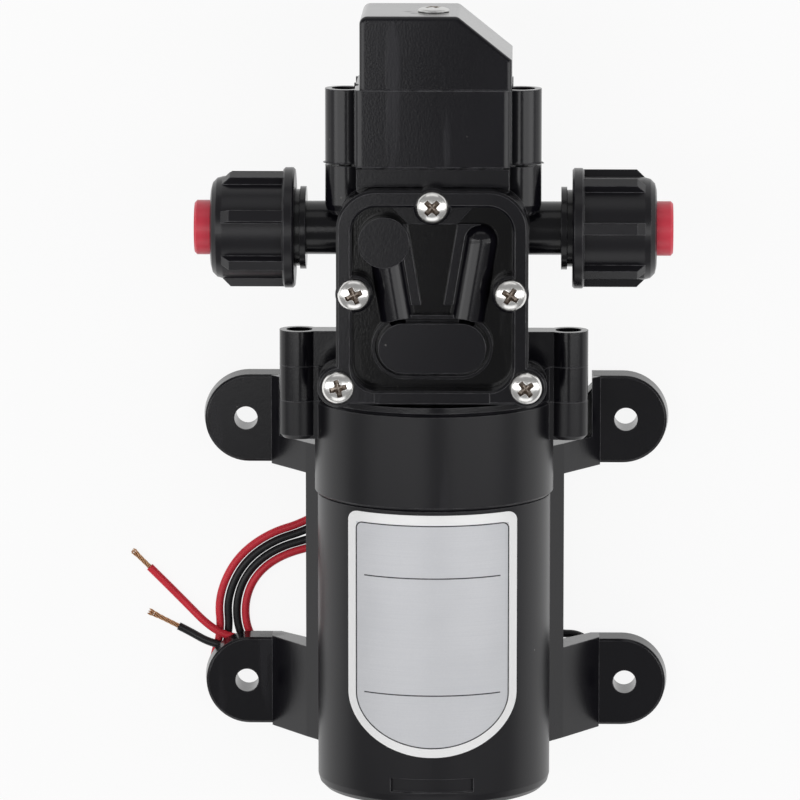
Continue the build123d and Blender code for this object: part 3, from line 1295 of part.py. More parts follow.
with BuildPart() as switch_spring:
    sleeve(along_y(sensor_x, spring_end_y, sensor_z), sensor_spring_diameter / 2,
           sensor_spring_diameter / 2 - sensor_spring_wall, spring_end_y - plunger_top_y)
save(switch_spring.part, "switch_spring")
with BuildPart() as microswitch_button:
    block(along_y(sensor_x, microswitch_y + button_root, sensor_z), button_width, microswitch_depth / 2,
          button_height + button_root)
save(microswitch_button.part, "microswitch_button")
with BuildPart() as microswitch:
    block(along_y(0, microswitch_y + microswitch_height, sensor_z), microswitch_width, microswitch_depth,
          microswitch_height)
    block(along_y(sensor_x, microswitch_y + button_root + 2 * switch_travel, sensor_z),
          button_width + 2 * slip_gap, microswitch_depth / 2 + 2 * slip_gap,
          button_root + 2 * switch_travel + overrun, mode=Mode.SUBTRACT)
save(microswitch.part, "microswitch")
with BuildPart() as terminals:
    for side in (-1, 1):
        block(along_y(side * terminal_pitch / 2, microswitch_y + microswitch_height + terminal_length,
                      sensor_z), terminal_width, terminal_thickness, terminal_length)
save(terminals.part, "terminals")

# Screws
with BuildPart() as head_screws:
    for x, y in cover_screw_places:
        pan_screw(along_z(x, y, cover_front_z), screw_head_diameter, screw_head_height, screw_diameter,
                  screw_length)
save(head_screws.part, "head_screws")
with BuildPart() as body_screws:
    for side in (-1, 1):
        pan_screw(facing_y(side * side_boss_x, plate_front_y + side_boss_rise - side_boss_pocket_depth,
                           side_boss_z), body_screw_head, body_screw_height, screw_diameter,
                  body_screw_length)
save(body_screws.part, "body_screws")
with BuildPart() as motor_screws:
    for side in (-1, 1):
        pan_screw(facing_y(side * motor_screw_pitch / 2, collar_floor_y, shaft_z), motor_screw_head,
                  motor_screw_head_height, motor_screw_diameter, motor_screw_length)
save(motor_screws.part, "motor_screws")
with BuildPart() as switch_screws:
    for side in (-1, 1):
        pan_screw(facing_y(side * tube_x, tube_floor_y, tube_z), tube_screw_head, tube_screw_height,
                  screw_diameter, switch_screw_length)
save(switch_screws.part, "switch_screws")
with BuildPart() as cap_screw:
    pan_screw(facing_y(0, cap_top_y, cap_screw_z), cap_screw_diameter, cap_wall / 2, screw_diameter,
              cap_screw_length)
save(cap_screw.part, "cap_screw")
with BuildPart() as cradle_screws:
    for screw_y in (cradle_screw_front_y, cradle_screw_rear_y):
        under_head = Plane(origin=(0, screw_y, saddle_z + cradle_screw_head_height / 2), x_dir=(1, 0, 0),
                           z_dir=(0, 0, -1))
        pan_screw(under_head, cradle_screw_head, cradle_screw_head_height, screw_diameter,
                  cradle_screw_length)
save(cradle_screws.part, "cradle_screws")

# Lead exit: a rubber grommet in the underside of the jacket
grommet_face_z = shaft_z - jacket_radius - slip_gap - grommet_flange
with BuildPart() as lead_grommet:
    with BuildSketch(along_z(0, lead_exit_y, grommet_face_z)) as flange:
        SlotOverall(lead_exit_width + 2 * grommet_overhang, lead_exit_length + 2 * grommet_overhang)
    extrude(flange.sketch, amount=grommet_flange)
    with BuildSketch(along_z(0, lead_exit_y, grommet_face_z)) as plug:
        SlotOverall(lead_exit_width - 2 * slip_gap, lead_exit_length - 2 * slip_gap)
    extrude(plug.sketch, amount=grommet_flange + grommet_depth)
save(lead_grommet.part, "lead_grommet")


def lead(route, diameter):
    """A round tube along straight runs joined by tangent arcs, each as wide as its shorter run allows."""
    corners = [Vector(*point) for point in route]
    radii = []
    for before, corner, after in zip(corners, corners[1:], corners[2:]):
        arriving = corner - before
        leaving = after - corner
        half_turn = math.radians(arriving.get_angle(leaving)) / 2
        radii.append(bend_share * min(arriving.length, leaving.length) / math.tan(half_turn))
    with BuildPart() as tube:
        with BuildLine() as path:
            FilletPolyline(*corners, radius=radii)
        with BuildSketch(Plane(origin=corners[0], z_dir=corners[1] - corners[0])) as section:
            RegularPolygon(diameter / 2, lead_sides)
        sweep(section.sketch, path=path.wire())
    ideal = path.wire().length * section.sketch.area
    print(f"lead {path.wire().length:.1f} long, radii {[round(radius, 1) for radius in radii]}, "
          f"volume {tube.part.volume / ideal:.4f} of section by length")
    return tube.part


# Leads: both run out under the left rear ear, round to the left rail and under the motor, then back the
# same way, round the ear's boss and over themselves to the bare ends
on_floor = lead_floor_z
halfway = lead_climb_z
over_lead = lead_over_z
red_route = [
    (-lead_pitch / 2, lead_exit_y, grommet_face_z),
    (-lead_pitch / 2, lead_exit_y, grommet_face_z - lead_start),
    (-3.6, -40.2, on_floor), (-7.8, -38.3, on_floor), (-15.3, -33.3, on_floor), (-22.8, -27.4, on_floor),
    (-30.4, -23.7, on_floor), (-37.3, -23.1, on_floor), (-40.4, -18.9, on_floor),
    (-40.8, -12.6, on_floor), (-38.4, -6.9, on_floor), (-33.2, -2.8, on_floor), (-25.7, -0.6, on_floor),
    (-15.5, 1.2, on_floor), (-4, 2, on_floor), (8, 2.6, on_floor), (15.5, 6, on_floor),
    (18, 13, on_floor), (13.5, 19.5, on_floor), (4.5, 21.6, on_floor), (-6, 18.4, on_floor),
    (-16.5, 12, on_floor), (-27.3, 4.6, on_floor), (-35.8, 2, on_floor), (-42.8, -3.5, on_floor),
    (-46.5, -11.8, on_floor), (-45.8, -19.3, on_floor), (-47.6, -25.1, on_floor),
    (-47.6, -31.4, on_floor), (-43.1, -35.8, on_floor), (-36.9, -35.8, halfway),
    (-32.4, -31.4, over_lead), (-32.4, -25.1, over_lead), (-36.9, -20.7, over_lead),
    (-43.9, -20.3, over_lead), (-48.4, -17.8, over_lead), (-53.4, -13.1, on_floor),
    (-57.6, -8.8, on_floor), (-61, -5.4, on_floor),
]
black_route = [
    (lead_pitch / 2, lead_exit_y, grommet_face_z),
    (lead_pitch / 2, lead_exit_y, grommet_face_z - lead_start),
    (0.2, -41.7, on_floor), (-3.6, -42.4, on_floor), (-8.8, -39.8, on_floor), (-16.6, -34.7, on_floor),
    (-23.8, -28.9, on_floor), (-30.9, -25.5, on_floor), (-38.3, -24.8, on_floor),
    (-42.2, -19.6, on_floor), (-42.7, -12.3, on_floor), (-39.9, -5.8, on_floor), (-34.1, -1.2, on_floor),
    (-26.2, 1.1, on_floor), (-18.9, 3.4, on_floor), (-12.9, 3.2, over_lead), (-8.6, -1, over_lead),
    (-5.6, -8.6, on_floor), (0, -17.5, on_floor), (8.5, -24.5, on_floor), (17.5, -29.2, on_floor),
    (25.8, -30.9, on_floor), (30.6, -30.9, on_floor), (33.9, -27.6, on_floor), (33.9, -22.8, on_floor),
    (30.6, -19.5, on_floor), (25.8, -19.5, on_floor), (18.4, -17.6, on_floor), (11.2, -12, on_floor),
    (8, -5.6, on_floor), (7, -1, over_lead), (6.2, 6.2, over_lead), (3.4, 12, on_floor),
    (-2.6, 15.6, on_floor), (-9.8, 13.6, on_floor), (-17.5, 8.8, on_floor), (-26.8, 2.9, on_floor),
    (-34.9, 0.4, on_floor), (-41.3, -4.6, on_floor), (-44.6, -12.1, on_floor), (-44, -19.1, on_floor),
    (-45.8, -25.8, on_floor), (-45.8, -30.6, on_floor), (-42.4, -34, on_floor), (-37.6, -34, halfway),
    (-34.2, -30.6, over_lead), (-34.2, -25.8, over_lead), (-37.6, -22.4, over_lead),
    (-43.4, -22.3, over_lead), (-48.3, -21.4, over_lead), (-52.5, -19.4, on_floor),
    (-54.9, -18.2, on_floor),
]
for colour, route in (("red", red_route), ("black", black_route)):
    save(lead(route, lead_diameter), f"{colour}_lead")

# Bare twisted ends of both leads
with BuildPart() as bare_strands:
    for route, bare_length in ((red_route, bare_red_length), (black_route, bare_black_length)):
        last = Vector(*route[-1])
        bar(Plane(origin=last, z_dir=last - Vector(*route[-2])), strand_diameter / 2, bare_length)
save(bare_strands.part, "bare_strands")
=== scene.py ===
import json
import math

import bmesh
import bpy
from mathutils import Matrix, Vector


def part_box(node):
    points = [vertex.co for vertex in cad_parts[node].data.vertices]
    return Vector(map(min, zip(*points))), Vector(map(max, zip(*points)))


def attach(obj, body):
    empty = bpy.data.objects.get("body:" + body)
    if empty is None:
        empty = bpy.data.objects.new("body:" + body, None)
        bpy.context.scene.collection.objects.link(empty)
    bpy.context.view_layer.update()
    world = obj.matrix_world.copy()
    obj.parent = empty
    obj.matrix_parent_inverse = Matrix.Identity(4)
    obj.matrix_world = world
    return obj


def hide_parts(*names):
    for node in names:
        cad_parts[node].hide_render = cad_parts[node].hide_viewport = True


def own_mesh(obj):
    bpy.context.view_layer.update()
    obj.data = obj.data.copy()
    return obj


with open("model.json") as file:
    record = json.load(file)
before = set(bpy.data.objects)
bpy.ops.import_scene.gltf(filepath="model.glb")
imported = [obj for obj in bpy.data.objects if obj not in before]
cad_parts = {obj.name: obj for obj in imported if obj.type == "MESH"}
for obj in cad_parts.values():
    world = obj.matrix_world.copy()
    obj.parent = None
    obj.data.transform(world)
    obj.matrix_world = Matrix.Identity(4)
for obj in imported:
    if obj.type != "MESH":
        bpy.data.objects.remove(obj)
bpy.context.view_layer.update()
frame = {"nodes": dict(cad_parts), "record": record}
mm = 0.001

# Measures that several pieces share, in mm
shaft_z = 30
label_radius = 24.28
label_side_y = -22.0  # where the label's straight sides pass into its round lower end
border_half = 15.6
border_top = 13.6
border_corner = 1.3
border_drop = 10.7
print_width = 0.26
side_boss_x = 27.7
tube_x = 17.9
tube_z = 42
port_face_x = 28.5
port_y = 72.5
port_z = 36
cover_face_z = 56
lead_x = 1.9
grommet_y = -40.9
grommet_foot_z = 4.8
lead_diameter = 1.7


# Camera: nearly straight down on the pump, a little from its head end
camera_height = math.radians(9.5)
camera_side = math.radians(1.3)
camera_distance = 1.29
camera_shift_right = -0.007065
camera_shift_up = 0.03096
camera_back = Vector((
    math.sin(camera_side) * math.cos(camera_height),
    math.sin(camera_height),
    math.cos(camera_side) * math.cos(camera_height),
))
camera_right = Vector((0, 1, 0)).cross(camera_back).normalized()
camera_up = camera_back.cross(camera_right)
pump_middle = Vector((0, 4.3, shaft_z)) * mm
camera_aim = pump_middle + camera_right * camera_shift_right + camera_up * camera_shift_up
lens = bpy.data.cameras.new("camera")
lens.sensor_width = 36
lens.lens = 279.4
camera = bpy.data.objects.new("camera", lens)
camera_turn = Matrix((camera_right, camera_up, camera_back)).transposed().to_4x4()
camera.matrix_world = Matrix.Translation(camera_aim + camera_back * camera_distance) @ camera_turn
bpy.context.collection.objects.link(camera)
bpy.context.scene.camera = camera
bpy.context.scene.view_settings.view_transform = "Standard"


# Finishes: every material is a small network written as sums on its sockets
class Field:
    """A number that varies over a surface."""

    def __init__(self, finish, socket):
        self.finish = finish
        self.socket = socket

    def _with(self, operation, first, second=None):
        values = [first] if second is None else [first, second]
        return self.finish.node("ShaderNodeMath", {"operation": operation}, values)

    def __add__(self, other):
        return self._with("ADD", self, other)

    def __radd__(self, other):
        return self._with("ADD", other, self)

    def __sub__(self, other):
        return self._with("SUBTRACT", self, other)

    def __rsub__(self, other):
        return self._with("SUBTRACT", other, self)

    def __mul__(self, other):
        return self._with("MULTIPLY", self, other)

    def __rmul__(self, other):
        return self._with("MULTIPLY", other, self)

    def __truediv__(self, other):
        return self._with("DIVIDE", self, other)

    def __pow__(self, other):
        return self._with("POWER", self, other)

    def above(self, level, soft=0.0):
        """1 where the number is over level, 0 where it is under, with a soft edge."""
        if not soft:
            return self._with("GREATER_THAN", self, level)
        settings = {"interpolation_type": "SMOOTHSTEP"}
        return self.finish.node("ShaderNodeMapRange", settings, [self, level - soft, level + soft])

    def below(self, level, soft=0.0):
        return 1 - self.above(level, soft)

    def size(self):
        return self._with("ABSOLUTE", self)

    def wave(self):
        return self._with("SINE", self)

    def highest(self, other):
        return self._with("MAXIMUM", self, other)

    def lowest(self, other):
        return self._with("MINIMUM", self, other)


class Network:
    """A tree of shader nodes that fields are written into."""

    def __init__(self, tree):
        self.tree = tree

    def node(self, kind, settings=(), values=(), output=0):
        made = self.tree.nodes.new(kind)
        for setting, choice in dict(settings).items():
            setattr(made, setting, choice)
        places = values.items() if isinstance(values, dict) else enumerate(values)
        for place, value in places:
            self.feed(made.inputs[place], value)
        return Field(self, made.outputs[output])

    def feed(self, socket, value):
        if isinstance(value, Field):
            self.tree.links.new(value.socket, socket)
        else:
            socket.default_value = value

    def ray(self, kind):
        """1 for rays of one kind, such as Camera, and 0 for the others."""
        return self.node("ShaderNodeLightPath", output=f"Is {kind} Ray")


class Finish(Network):
    """One material: a surface whose colour, gloss and relief are fed by fields."""

    def __init__(self, name, **constants):
        self.material = bpy.data.materials.new(name)
        self.material.use_nodes = True
        super().__init__(self.material.node_tree)
        self.tree.nodes.clear()
        self.surface = self.tree.nodes.new("ShaderNodeBsdfPrincipled")
        out = self.tree.nodes.new("ShaderNodeOutputMaterial")
        self.tree.links.new(self.surface.outputs[0], out.inputs["Surface"])
        for socket, value in constants.items():
            self.surface.inputs[socket.replace("_", " ")].default_value = value

    def paint(self, **fields):
        """Feeds the surface's sockets; an underscore stands for a space."""
        for socket, value in fields.items():
            self.feed(self.surface.inputs[socket.replace("_", " ")], value)

    def place(self):
        """The place on the object at rest, in metres."""
        return self.node("ShaderNodeTexCoord", output="Object")

    def axes(self):
        """The place's x, y and z as three fields."""
        split = self.tree.nodes.new("ShaderNodeSeparateXYZ")
        self.tree.links.new(self.place().socket, split.inputs[0])
        return [Field(self, socket) for socket in split.outputs]

    def cloud(self, per_metre, detail=2.0, stretch=(1, 1, 1)):
        """Soft random variation from 0 to 1."""
        spot = self.place()
        if stretch != (1, 1, 1):
            spot = self.node("ShaderNodeVectorMath", {"operation": "MULTIPLY"}, [spot, stretch])
        values = {"Vector": spot, "Scale": per_metre, "Detail": detail}
        return self.node("ShaderNodeTexNoise", values=values)

    def dots(self, per_metre, radius, share):
        """Sparse specks: small dots in some of the cells."""
        values = {"Vector": self.place(), "Scale": per_metre}
        near = self.node("ShaderNodeTexVoronoi", values=values, output="Distance")
        pick = self.node("ShaderNodeTexVoronoi", values=values, output="Color")
        chance = self.node("ShaderNodeSeparateColor", values=[pick])
        return near.below(radius, radius / 2) * chance.above(1 - share)

    def mix(self, factor, first, second):
        """A colour between two colours."""
        values = {0: factor, 6: colour(first), 7: colour(second)}
        return self.node("ShaderNodeMix", {"data_type": "RGBA"}, values, output=2)

    def rounded(self, radius):
        """The surface's direction with its edges softened."""
        return self.node("ShaderNodeBevel", {"samples": 4}, {"Radius": radius})

    def edges(self, softened, reach=0.08):
        """1 on an edge, fading to 0 on the faces beside it."""
        true = self.node("ShaderNodeNewGeometry", output="Normal")
        product = {"operation": "DOT_PRODUCT"}
        along = self.node("ShaderNodeVectorMath", product, [softened, true], output="Value")
        return (1 - along).above(reach, reach * 0.9)

    def relief(self, height, depth, softened=None):
        """Bumps of a depth in metres, on top of the softened direction if there is one."""
        values = {"Height": height, "Distance": depth, "Strength": 1.0}
        if softened is not None:
            values["Normal"] = softened
        self.paint(Normal=self.node("ShaderNodeBump", values=values))


def colour(value):
    """A field as it is, or a grey level or three values as an opaque colour."""
    if isinstance(value, Field):
        return value
    if isinstance(value, (int, float)):
        value = (value, value, value)
    return (*value, 1.0)


def darker(shade, share):
    return [c * share for c in shade]


def lighter(shade, share, lift=0.0):
    return [min(c * share + lift, 1) for c in shade]


def moulded_black(name, shade, gloss, grain=0.000010, dust=0.10, wear_and_glint=0.16, soft=0.00028,
                  recess=None, extra=None):
    """Black moulded plastic: fine sparked grain, flow marks, pale edges that are partly rubbed and
    partly a painted highlight, and a little lint.

    recess is the height in metres under which the plastic is painted darker and a little glossier,
    as painted shade on a recess floor; extra adds its own relief.
    """
    finish = Finish(name, Specular_IOR_Level=0.36)
    fine = finish.cloud(2400, 3)
    flow = finish.cloud(55, 3, (1, 0.45, 1))
    scuffs = finish.cloud(160, 4, (1, 0.12, 1)).above(0.66, 0.05)
    lint = finish.dots(430, 0.085, dust * 0.5)
    softened = finish.rounded(soft)
    wear_and_glint_edges = finish.edges(softened) * finish.cloud(420, 3).above(0.42, 0.2)
    body = finish.mix(flow, darker(shade, 0.72), lighter(shade, 1.30))
    body = finish.mix(scuffs * 0.35, body, lighter(shade, 2.6))
    # pale edges: partly rubbed plastic, partly a painted highlight standing in for light glinting
    # on the edges
    body = finish.mix(wear_and_glint_edges * wear_and_glint * 5, body, (0.150, 0.148, 0.158))
    body = finish.mix(lint * 0.42, body, (0.26, 0.25, 0.24))
    rough = gloss + flow * 0.06 - 0.03 + fine * 0.03 + scuffs * 0.10
    height = fine + flow * 0.6 + scuffs * 0.4
    if extra:
        height, rough = extra(finish, height, rough)
    if recess:
        # painted shade: under the recess height the floor of the recess is painted much darker
        sunk = finish.axes()[2].below(recess, 0.00015)
        body = finish.mix(sunk * 0.8, body, darker(shade, 0.16))
        rough = rough - sunk * 0.06
    finish.paint(Base_Color=body, Roughness=rough)
    finish.relief(height, grain, softened)
    return finish.material


def channel_seam(finish, height, rough):
    """The moulding seam across the right channel of the head cover."""
    x, y, z = finish.axes()
    line = (y - x * 0.10 - 71.2 * mm).size().below(0.12 * mm, 0.06 * mm)
    where = x.above(6.2 * mm, 0.3 * mm) * x.below(13.6 * mm, 0.3 * mm) * z.above(51.8 * mm)
    return height - line * where * 3, rough


def metal(name, shade, gloss, brush=(1, 1, 1), tarnish=0.25, grain=0.000004):
    """Bare or plated metal with fine working marks and dull patches."""
    finish = Finish(name, Metallic=1.0)
    marks = finish.cloud(2600, 4, brush)
    patch = finish.cloud(260, 3)
    softened = finish.rounded(0.00010)
    wear_and_glint_edges = finish.edges(softened, 0.05)
    body = finish.mix(patch * tarnish, shade, darker(shade, 0.62))
    # lighter edges: partly rubbed metal, partly a painted highlight
    body = finish.mix(wear_and_glint_edges * 0.5, body, lighter(shade, 1.25))
    finish.paint(Base_Color=body, Roughness=gloss + marks * 0.12 + patch * 0.10)
    finish.relief(marks, grain, softened)
    return finish.material


def plain_plastic(name, shade, gloss, grain=0.00001, scatter=0.0):
    """Self-coloured plastic: slight mottling, fine grain and lighter edges that are partly rubbed
    and partly a painted highlight.
    """
    finish = Finish(name, Subsurface_Weight=scatter, Subsurface_Scale=0.002)
    fine = finish.cloud(1800, 3)
    flow = finish.cloud(120, 3)
    softened = finish.rounded(0.00022)
    wear_and_glint_edges = finish.edges(softened)
    body = finish.mix(flow, darker(shade, 0.86), lighter(shade, 1.10))
    # lighter edges: partly rubbed plastic, partly a painted highlight
    body = finish.mix(wear_and_glint_edges * 0.35, body, lighter(shade, 1.3, 0.03))
    finish.paint(Base_Color=body, Roughness=gloss + flow * 0.12 + fine * 0.05)
    finish.relief(fine + flow, grain, softened)
    return finish.material


def rubber(name, shade, gloss=0.62):
    """Moulded rubber with a dusty bloom."""
    finish = Finish(name, Specular_IOR_Level=0.35)
    bloom = finish.cloud(340, 4)
    fine = finish.cloud(3200, 2)
    body = finish.mix(bloom.above(0.52, 0.2) * 0.5, shade, lighter(shade, 1, 0.025))
    finish.paint(Base_Color=body, Roughness=gloss + bloom * 0.15)
    finish.relief(fine + bloom, 0.00002)
    return finish.material


def foil_label():
    """Silver foil: very fine brushing across, a soft sheen and slight waviness from the glue."""
    finish = Finish("label_foil", Metallic=0.22, Specular_IOR_Level=0.5)
    x, y = finish.axes()[:2]
    brushed = finish.cloud(900, 3, (0.06, 6, 0.06))
    speckle = finish.cloud(2200, 2)
    sheen = finish.cloud(60, 2)
    across = (x / (border_half * mm)) ** 2
    down = ((y - label_side_y * mm).lowest(0) / (border_drop * mm)) ** 2
    rim = (across + down).above(1.0, 0.005).highest(y.above(border_top * mm, 0.00005))
    body = finish.mix(brushed * 0.6 + speckle * 0.4, (0.64, 0.65, 0.68), (0.76, 0.765, 0.79))
    body = finish.mix(sheen.above(0.6, 0.15) * 0.25, body, (0.58, 0.59, 0.62))
    body = finish.mix(rim, body, (1.0, 1.0, 1.0))
    finish.paint(Base_Color=body, Roughness=0.34 + speckle * 0.10 + sheen * 0.08)
    finish.relief(speckle * 0.3 + sheen * 4, 0.00001)
    return finish.material


def label_ink():
    """Dark printed line, a little thin in places."""
    finish = Finish("label_ink")
    thin = finish.cloud(900, 3)
    body = finish.mix(thin.above(0.55, 0.2), (0.035, 0.035, 0.04), (0.085, 0.085, 0.09))
    finish.paint(Base_Color=body, Roughness=0.38 + thin * 0.1)
    finish.relief(thin, 0.000004)
    return finish.material


def insulation(name, shade, gloss):
    """Soft extruded lead insulation: fine grain, dull patches and finger marks."""
    finish = Finish(name, Specular_IOR_Level=0.3)
    patch = finish.cloud(300, 3)
    fine = finish.cloud(2600, 2)
    marks = finish.cloud(90, 2)
    body = finish.mix(patch, darker(shade, 0.82), lighter(shade, 1.12))
    finish.paint(Base_Color=body, Roughness=gloss + patch * 0.12 + marks * 0.08)
    finish.relief(fine + patch, 0.00001)
    return finish.material


def wound_copper():
    """Enamelled wire laid side by side, turn by turn, painted lighter on each turn's crest and
    darker in the grooves between turns as painted shade.
    """
    finish = Finish("enamelled_wire", Metallic=0.85)
    turns = (finish.axes()[1] * 14000).wave()
    patch = finish.cloud(300, 3)
    # painted shade in the grooves between turns, painted highlight on their crests
    body = finish.mix(turns.above(0, 0.9), (0.26, 0.09, 0.03), (0.60, 0.25, 0.10))
    finish.paint(Base_Color=body, Roughness=0.28 + patch * 0.15)
    finish.relief(turns, 0.00012)
    return finish.material


def stacked_sheet():
    """Steel laminations: the edges of thin sheets, with a blue-grey oxide."""
    finish = Finish("lamination_stack", Metallic=0.9)
    sheets = (finish.axes()[1] * 12566).wave()
    patch = finish.cloud(400, 3)
    body = finish.mix(patch, (0.20, 0.20, 0.22), (0.38, 0.37, 0.36))
    finish.paint(Base_Color=body, Roughness=0.42 + sheets.above(0.6, 0.3) * 0.2)
    finish.relief(sheets + patch, 0.00005)
    return finish.material


def pressed_powder(name, shade, metallic=0.0, gloss=0.6):
    """Sintered or pressed material: open, grainy and matt."""
    finish = Finish(name, Metallic=metallic)
    grains = finish.cloud(3600, 4)
    pores = finish.dots(1500, 0.16, 0.4)
    body = finish.mix(grains, darker(shade, 0.7), lighter(shade, 1.3))
    # pores painted darker: painted shade in the pits
    body = finish.mix(pores * 0.7, body, darker(shade, 0.3))
    finish.paint(Base_Color=body, Roughness=gloss + grains * 0.2)
    finish.relief(grains - pores, 0.00003)
    return finish.material


black = (0.0046, 0.0043, 0.0064)
finishes = {
    "black_cradle": moulded_black("cradle_plastic", black, 0.18, dust=0.05),
    "black_jacket": moulded_black("jacket_plastic", (0.0068, 0.0064, 0.0086), 0.33,
                                  grain=0.000008, dust=0.06),
    "black_body": moulded_black("body_plastic", black, 0.15, dust=0.10),
    "black_nut": moulded_black("nut_plastic", (0.0086, 0.0081, 0.0104), 0.27, wear_and_glint=0.18, dust=0.08),
    # the switch's pale edges are raised further: partly rubbed plastic, partly a painted highlight
    "black_switch": moulded_black("switch_plastic", (0.0048, 0.0045, 0.0070), 0.12,
                                  dust=0.06, wear_and_glint=0.26, soft=0.00048),
    "red_collet": plain_plastic("collet_red", (0.78, 0.050, 0.085), 0.26),
    "silver_label": foil_label(),
    "zinc_steel": metal("zinc_plate", (0.70, 0.70, 0.69), 0.22),
    "nickel_steel": metal("nickel_plate", (0.92, 0.91, 0.89), 0.12, tarnish=0.12),
    "can_steel": metal("drawn_can", (0.60, 0.60, 0.60), 0.28, (1, 0.05, 1)),
    "shaft_steel": metal("ground_shaft", (0.72, 0.72, 0.72), 0.14, (0.2, 1, 0.2), 0.1),
    "bearing_steel": metal("bearing_rings", (0.66, 0.66, 0.68), 0.12, (0.2, 1, 0.2), 0.1),
    "laminations": stacked_sheet(),
    "magnet": pressed_powder("ferrite_magnet", (0.095, 0.095, 0.105), gloss=0.45),
    "copper": metal("commutator_copper", (0.78, 0.40, 0.22), 0.20, (0.1, 1, 0.1)),
    "enamelled_copper": wound_copper(),
    "carbon": pressed_powder("brush_carbon", (0.055, 0.055, 0.055)),
    "bronze": pressed_powder("sintered_bronze", (0.60, 0.44, 0.22), 1.0, 0.35),
    "spring_steel": metal("spring_wire", (0.66, 0.66, 0.66), 0.18),
    "black_rubber": rubber("black_rubber_parts", (0.016, 0.016, 0.017)),
    "white_plastic": plain_plastic("natural_acetal", (0.78, 0.78, 0.75), 0.34, scatter=0.1),
    "cast_zinc": pressed_powder("die_cast_zinc", (0.50, 0.50, 0.52), 0.9, 0.32),
    "tin_brass": metal("tinned_blades", (0.74, 0.72, 0.64), 0.24, (1, 0.1, 1)),
    "red_insulation": insulation("red_lead_skin", (0.76, 0.036, 0.058), 0.28),
    "black_insulation": insulation("black_lead_skin", (0.014, 0.014, 0.016), 0.26),
}
# the head cover's recess floor, under 51.2 mm, gets painted shade
cover_plastic = moulded_black("cover_plastic", black, 0.14, dust=0.14,
                              recess=0.0512, extra=channel_seam)
collar_plastic = moulded_black("collar_plastic", black, 0.30, dust=0.08)
own_finish = {"head_cover": cover_plastic, "front_collar": collar_plastic}
recess_steel = metal("driven_recess", (0.42, 0.36, 0.31), 0.30, tarnish=0.8)
strand_copper = metal("strand_copper", (0.62, 0.36, 0.20), 0.28, tarnish=0.7)
ink = label_ink()

slot_of = {row["node"]: row["material_slot"] for row in frame["record"]["subparts"]}
for node, solid in frame["nodes"].items():
    finish = own_finish.get(node, finishes[slot_of[node]])
    if solid.data.materials:
        solid.data.materials[0] = finish
    else:
        solid.data.materials.append(finish)


# Modelled pieces: rings of points joined into skins
class Piece:
    """Gathers rings of points into one mesh and puts it on a body of the pump."""

    def __init__(self, name, *materials):
        self.name = name
        self.materials = materials
        self.mesh = bmesh.new()

    def rings(self, rings, shut=True, caps=(False, False), material=0):
        """Joins each ring to the next; shut closes the rings, caps close the first and the last."""
        rows = [[self.mesh.verts.new(point) for point in ring] for ring in rings]
        count = len(rows[0])
        for low, high in zip(rows, rows[1:]):
            for i in range(count if shut else count - 1):
                j = (i + 1) % count
                face = self.mesh.faces.new((low[i], low[j], high[j], high[i]))
                face.material_index = material
        for end, row in ((0, rows[0]), (1, rows[-1])):
            if caps[end]:
                middle = self.mesh.verts.new(sum((v.co for v in row), Vector()) / count)
                for i in range(count):
                    face = self.mesh.faces.new((row[i], row[(i + 1) % count], middle))
                    face.material_index = material

    def finish(self, body, slot, replaces=(), crease=32):
        """Turns what was gathered into an object, sharp where faces meet at over crease degrees."""
        bmesh.ops.remove_doubles(self.mesh, verts=self.mesh.verts, dist=1e-7)
        bmesh.ops.recalc_face_normals(self.mesh, faces=self.mesh.faces)
        for face in self.mesh.faces:
            face.smooth = True
        for edge in self.mesh.edges:
            if edge.is_manifold and edge.calc_face_angle(0) > math.radians(crease):
                edge.smooth = False
        data = bpy.data.meshes.new(self.name)
        self.mesh.to_mesh(data)
        self.mesh.free()
        for material in self.materials:
            data.materials.append(material)
        made = bpy.data.objects.new(self.name, data)
        bpy.context.collection.objects.link(made)
        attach(made, body)
        if replaces:
            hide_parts(*replaces)
        return made


def facing(centre, direction, turn=0.0):
    """A place whose z axis points along direction, turned about it."""
    aimed = Vector(direction).to_track_quat("Z", "Y").to_matrix().to_4x4()
    turned = Matrix.Rotation(math.radians(turn), 4, "Z")
    return Matrix.Translation(Vector(centre) * mm) @ aimed @ turned


def spoke(place, radius, angle, height):
    """A point at radius and angle about the place's axis, at a height along it."""
    return place @ (Vector((radius * math.cos(angle), radius * math.sin(angle), height)) * mm)


def ring(place, radius, height, angles):
    return [spoke(place, radius, a, height) for a in angles]


